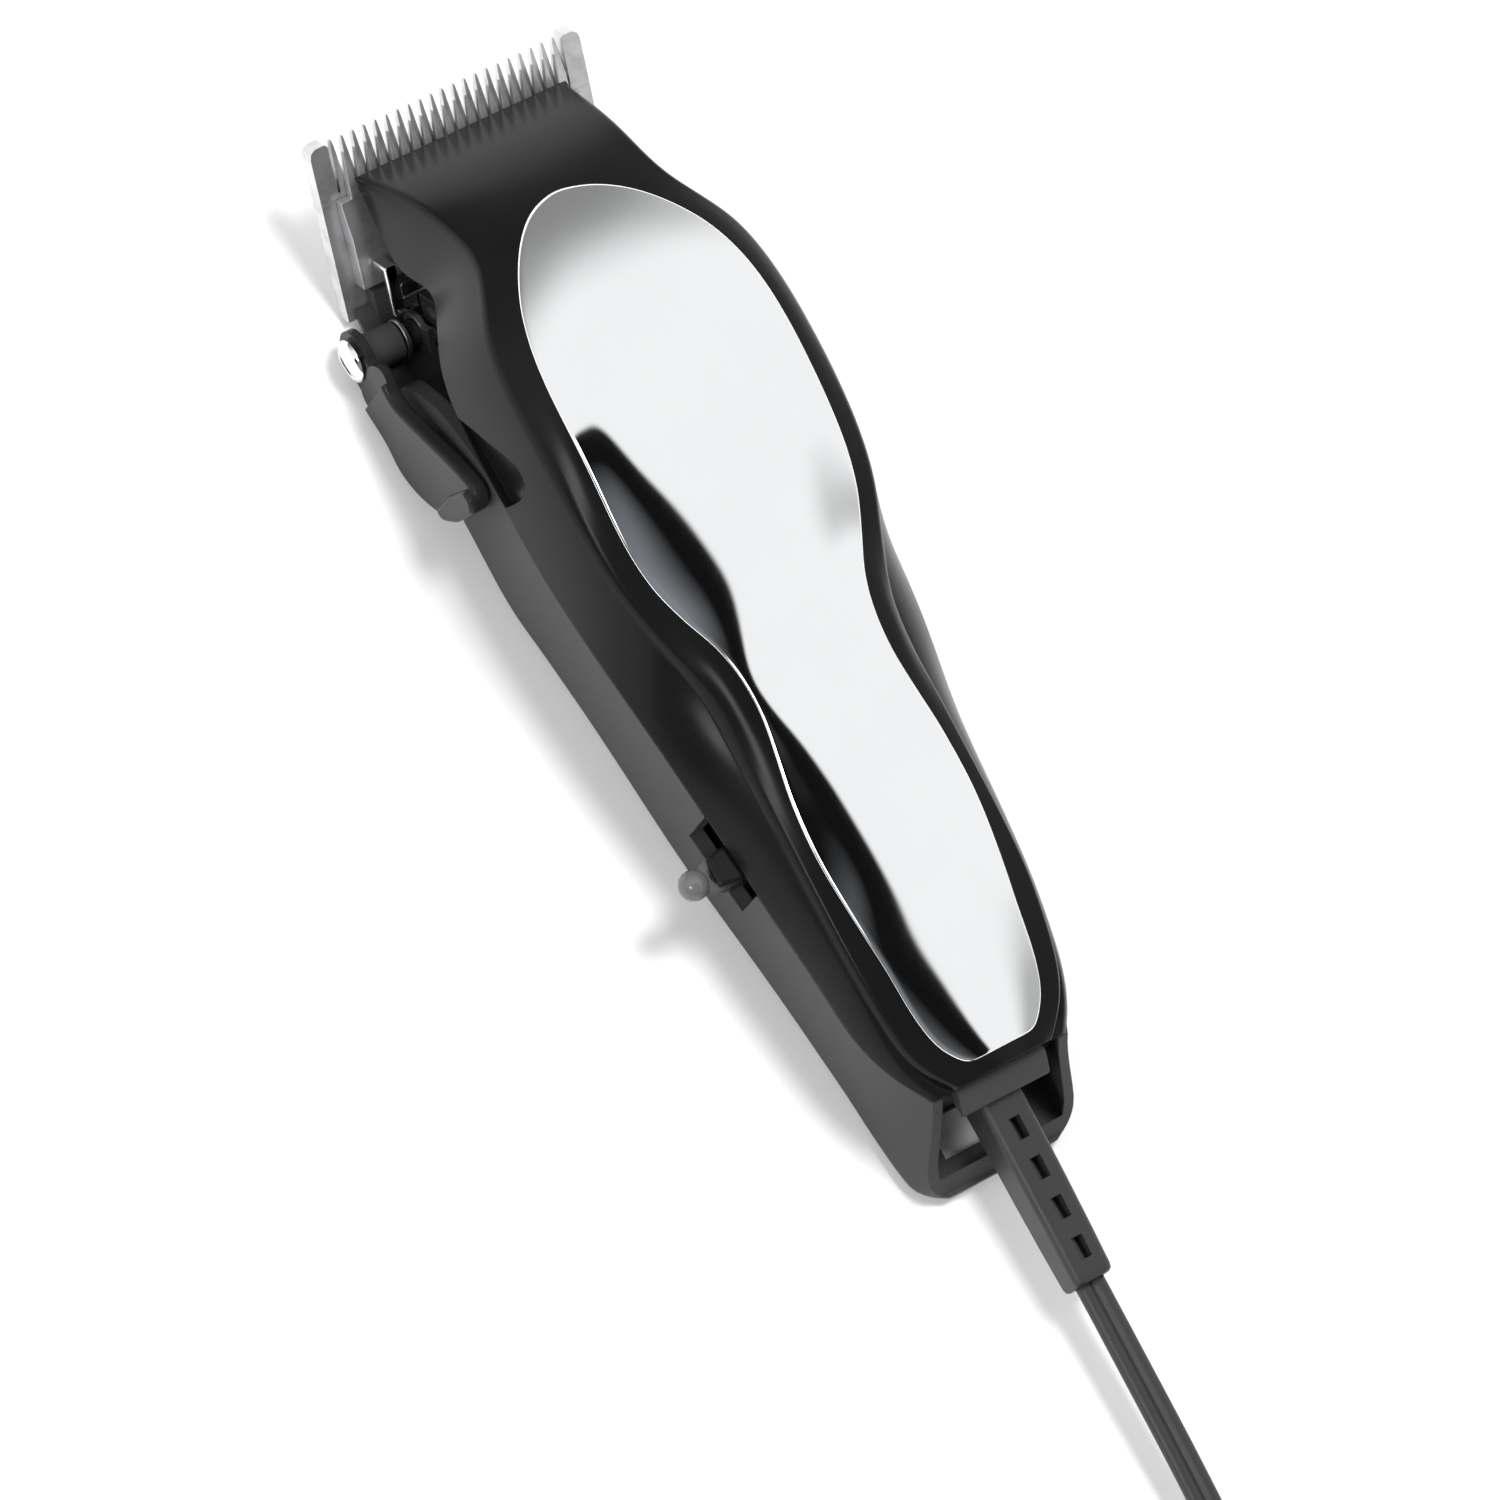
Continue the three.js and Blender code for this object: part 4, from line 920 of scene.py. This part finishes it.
class Bench:
    """A node tree with short ways to add nodes and to reach the shader."""

    def __init__(self, tree):
        self.tree = tree

    def node(self, kind, settings=None, inputs=None, output=0):
        made = self.tree.nodes.new(kind)
        for key, value in (settings or {}).items():
            if key == "stops":
                ramp = made.color_ramp.elements
                while len(ramp) < len(value):
                    ramp.new(0.5)
                for stop, (at, shade) in zip(ramp, value):
                    stop.position, stop.color = at, shade
            else:
                setattr(made, key, value)
        for key, value in (inputs.items() if isinstance(inputs, dict) else enumerate(inputs or [])):
            self.join(value, made.inputs[key])
        return Wire(self, made.outputs[output])

    def join(self, value, socket):
        if isinstance(value, Wire):
            self.tree.links.new(value.socket, socket)
        else:
            socket.default_value = value

    def blend(self, share, first, second):
        """A colour between two colours."""
        return self.node("ShaderNodeMix", {"data_type": "RGBA"}, {0: share, 6: first, 7: second}, 2)

    def step(self, value, low, high, out_low=0.0, out_high=1.0):
        """A smooth step of a value between two thresholds."""
        return self.node("ShaderNodeMapRange", {"interpolation_type": "SMOOTHSTEP"},
                         [value, low, high, out_low, out_high])


def grey(value, tint=(1, 1, 1)):
    return (value * tint[0], value * tint[1], value * tint[2], 1.0)


class Finish(Bench):
    """One named material: its Principled shader, and coordinates in millimetres."""

    def __init__(self, name, **constants):
        self.material = bpy.data.materials.new(name)
        self.material.use_nodes = True
        super().__init__(self.material.node_tree)
        self.shader = self.tree.nodes["Principled BSDF"]
        for key, value in constants.items():
            self.shader.inputs[key.replace("_", " ")].default_value = value
        place_in = self.node("ShaderNodeTexCoord", output=3)
        self.mm = self.node("ShaderNodeVectorMath", {"operation": "SCALE"}, {0: place_in, 3: 1000.0})

    def stretched(self, x, y, z):
        return self.node("ShaderNodeVectorMath", {"operation": "MULTIPLY"}, [self.mm, (x, y, z)])

    def noise(self, scale, detail=3.0, roughness=0.55, where=None):
        return self.node("ShaderNodeTexNoise", None,
                         {"Vector": where or self.mm, "Scale": scale, "Detail": detail,
                          "Roughness": roughness})

    def set(self, **wires):
        for key, value in wires.items():
            self.join(value, self.shader.inputs[key.replace("_", " ")])

    def bumps(self, height, strength, distance, rounded=None):
        """A bump, over edges that are rounded by that many millimetres if asked."""
        values = {"Strength": strength, "Distance": distance * MM, "Height": height}
        if rounded:
            values["Normal"] = self.node("ShaderNodeBevel", {"samples": 6}, {"Radius": rounded * MM})
        self.set(Normal=self.node("ShaderNodeBump", None, values))


print("material bench ready")

# %% [markdown]
# ## Moulded plastics
# The cover is satin black: a fine spark-eroded grain, faint cloudy gloss and rubbed corners. The
# housing is the same black plastic with a matt skin; its base colour is painted a lighter grey as
# painted light, so that its sides read as lit. Grain sits at a few tenths of a millimetre; a coarser
# pattern would make the clipper look like a toy.

# %% Cover, housing, lever and soft plastics
def moulded(name, base, light, rough_low, rough_high, grain, bump, rounded, specular=0.5):
    made = Finish(name, Specular_IOR_Level=specular)
    cloud = made.noise(0.09, 4.0)
    fine = made.noise(grain, 2.0, 0.6)
    dust = made.step(made.noise(2.6, 5.0, 0.7), 0.62, 0.78)
    made.set(
        Base_Color=made.blend(cloud * 0.55 + dust * 0.2, base, light),
        Roughness=rough_low + cloud * (rough_high - rough_low) + fine * 0.05)
    made.bumps(fine, bump, 0.03, rounded)
    return made.material


materials = {
    "cover_black": moulded("satin_cover", grey(0.005), grey(0.009), 0.17, 0.25, 4.2, 0.10, 0.3, 0.12),
    # the housing's lighter grey base is painted light: the same black plastic, made to read as lit
    "housing_grey": moulded("matt_housing", grey(0.042), grey(0.056), 0.40, 0.52, 3.6, 0.3, 0.3, 0.15),
    "lever_black": moulded("lever_plastic", grey(0.014), grey(0.020), 0.16, 0.24, 4.5, 0.12, 0.25, 0.14),
    "soft_black": moulded("soft_vinyl", grey(0.028), grey(0.042), 0.34, 0.46, 3.0, 0.25, 0.2, 0.3),
    "grey_plastic": moulded("light_grey_nylon", grey(0.74, (1, 1, 1.01)), grey(0.82),
                            0.3, 0.42, 3.0, 0.15, 0.2),
    "ball_grey": moulded("smoked_ball", grey(0.10), grey(0.14), 0.08, 0.12, 3.0, 0.03, 0.2),
    "knob_black": moulded("knob_plastic", grey(0.005), grey(0.009), 0.20, 0.3, 4.5, 0.1, 0.2, 0.2),
    "white_plastic": moulded("natural_nylon", grey(0.62, (1, 0.98, 0.92)), grey(0.72, (1, 0.98, 0.93)),
                             0.4, 0.55, 2.5, 0.2, 0.2),
}
print("plastics:", sorted(materials))

# %% [markdown]
# ## Metals
# Chrome is nearly a perfect mirror, so its life comes from the room, with hair-fine wiping
# marks. The blades are ground steel: long scratches run one way, and oil darkens them a little.
# The iron is a stack of sheets, and the coil is thin wire laid side by side.

# %% Chrome, steel, iron, copper and brass
chrome = Finish("mirror_chrome", Metallic=1.0)
wiping = chrome.noise(1.0, 2.0, 0.5, chrome.stretched(6.0, 0.25, 1.0))
haze = chrome.noise(0.06, 3.0)
chrome.set(Base_Color=chrome.blend(haze, grey(0.90, (0.99, 1, 1.01)), grey(0.94, (0.99, 1, 1.01))),
           Roughness=0.035 + haze * 0.03 + chrome.step(wiping, 0.62, 0.8) * 0.02)
chrome.bumps(wiping, 0.012, 0.01)
materials["chrome"] = chrome.material


def ground_steel(name, stretch, base, dark, rough, strength, rounded=0.12, mirror=1.0):
    made = Finish(name, Metallic=mirror)
    lines = made.noise(1.0, 4.0, 0.65, made.stretched(*stretch))
    oil = made.noise(0.22, 5.0, 0.6)
    speck = made.step(made.noise(1.9, 4.0, 0.7), 0.6, 0.72)
    made.set(Base_Color=made.blend(made.step(oil, 0.42, 0.7) * 0.5 + speck * 0.35, base, dark),
             Roughness=rough + lines * 0.18 + speck * 0.1)
    made.bumps(lines, strength, 0.02, rounded)
    return made.material


materials["blade_steel"] = ground_steel(
    "ground_blade_steel", (7.0, 0.3, 0.3), grey(0.70), grey(0.36), 0.22, 0.3, mirror=0.85)
materials["plain_steel"] = ground_steel(
    "zinc_plated_steel", (1.5, 1.5, 1.5), grey(0.56, (1, 1, 1.03)), grey(0.42), 0.28, 0.12)
materials["brass"] = ground_steel(
    "turned_brass", (2.0, 2.0, 0.5), grey(0.7, (1, 0.76, 0.40)), grey(0.45, (1, 0.68, 0.34)), 0.26, 0.12)


def layered(name, axis, per_mm, base, dark, rough, strength):
    """Metal in layers: iron sheets or turns of wire."""
    made = Finish(name, Metallic=1.0)
    waves = made.node("ShaderNodeTexWave", {"wave_type": "BANDS", "bands_direction": axis},
                      {"Vector": made.mm, "Scale": per_mm * 0.314, "Distortion": 0.3, "Detail": 1.0}, 1)
    rust = made.noise(0.8, 4.0)
    made.set(Base_Color=made.blend(made.step(waves, 0.0, 0.35), dark, base), Roughness=rough + rust * 0.15)
    made.bumps(waves, strength, 0.12, 0.2)
    return made.material


materials["iron"] = layered("laminated_iron", "Z", 1.6, grey(0.33), grey(0.13), 0.4, 0.5)
materials["copper"] = layered(
    "wound_copper", "Y", 2.2, grey(0.62, (1, 0.50, 0.28)), grey(0.26, (1, 0.42, 0.24)), 0.24, 0.8)

slot_of = {part["node"]: part["material_slot"] for part in frame["record"]["subparts"]}
special = {"knob_ball": "ball_grey", "slide_knob": "knob_black"}
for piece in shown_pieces():
    slot = piece.get("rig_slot") or slot_of.get(piece.name)
    if slot is None:
        print("no slot for", piece.name)
        slot = "plain_steel"
    piece.data.materials.clear()
    piece.data.materials.append(materials[special.get(piece.name, slot)])
    if "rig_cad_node" not in piece:
        piece["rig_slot"] = slot

# %% [markdown]
# ## The table and the light
# The clipper lies on a plain pale table. Chrome shows whatever stands round it, so the room is
# built by direction: it is white to the right and towards the blade, and dark towards the left
# of the tail, deepest beside the white. Both lamps are soft: one high on the right makes the
# shadow, and a weak one on the left opens up the dark plastics. Neither shows in the chrome.

# %% Floor, room and lamps
floor_mesh = bpy.data.meshes.new("table_top")
floor_mesh.from_pydata([(-4, -4, -5e-5), (4, -4, -5e-5), (4, 4, -5e-5), (-4, 4, -5e-5)], [], [(0, 1, 2, 3)])
table_top = bpy.data.objects.new("table_top", floor_mesh)
bpy.context.scene.collection.objects.link(table_top)
paper = Finish("pale_table", Roughness=0.75, Specular_IOR_Level=0.2)
paper.set(Base_Color=paper.blend(paper.noise(0.004, 2.0), grey(0.86), grey(0.84)))
floor_mesh.materials.append(paper.material)

room = bpy.data.worlds.new("studio_room")
bpy.context.scene.world = room
room.use_nodes = True
walls = Bench(room.node_tree)
way = walls.node("ShaderNodeTexCoord", output=0)
axes = walls.node("ShaderNodeSeparateXYZ", None, [way])
way_x, way_y = axes, Wire(walls, axes.socket.node.outputs[1])
beyond = walls.node("ShaderNodeMath", {"operation": "SMOOTH_MAX"}, [way_x - 0.31, way_y + 0.015, 0.16])
bright = walls.step(beyond, -0.012, 0.012)
gap = walls.node("ShaderNodeMapRange", None, [beyond, -0.42, -0.13, 0.0, 1.0])
streak = walls.step(way_x, -0.86, -0.76) * walls.step(way_x, -0.66, -0.56, 1.0, 0.0) * walls.step(
    way_y, -0.35, -0.15) * walls.step(way_y, 0.35, 0.5, 1.0, 0.0)
dark = walls.blend(gap, grey(0.24, (0.94, 1, 1.07)), grey(0.006))
dark = walls.blend(streak, dark, grey(13.0))
front = walls.step(way_y, 0.35, 0.95, 0.96, 0.26)
tail_right = 1 - 0.5 * walls.step(way_x, 0.44, 0.6) * walls.step(way_y, -0.38, -0.26, 1.0, 0.0)
white = walls.node("ShaderNodeVectorMath", {"operation": "SCALE"},
                   {0: (1.0, 1.0, 1.0), 3: front * tail_right})
ceiling = walls.blend(bright, dark, white)
overhead = walls.node("ShaderNodeLightPath", output=0)
pale = walls.blend(overhead, ceiling, grey(0.93))
background = room.node_tree.nodes["Background"]
walls.join(pale, background.inputs["Color"])
background.inputs["Strength"].default_value = 1.0


def lamp(name, where, aim, size, power):
    light = bpy.data.lights.new(name, "AREA")
    light.shape, light.size, light.energy = "DISK", size, power
    made = bpy.data.objects.new(name, light)
    bpy.context.scene.collection.objects.link(made)
    made.location = where
    made.visible_glossy = False
    made.rotation_euler = (Vector(aim) - Vector(where)).to_track_quat("-Z", "Y").to_euler()
    return made


lamp("key_lamp", (0.20, 0.12, 1.2), (0, 0, 0.02), 0.36, 12)
lamp("fill_lamp", (-0.9, -0.3, 0.7), (0, 0, 0.02), 0.7, 4)
bpy.context.scene.view_settings.view_transform = "Standard"
print("room and lamps ready")
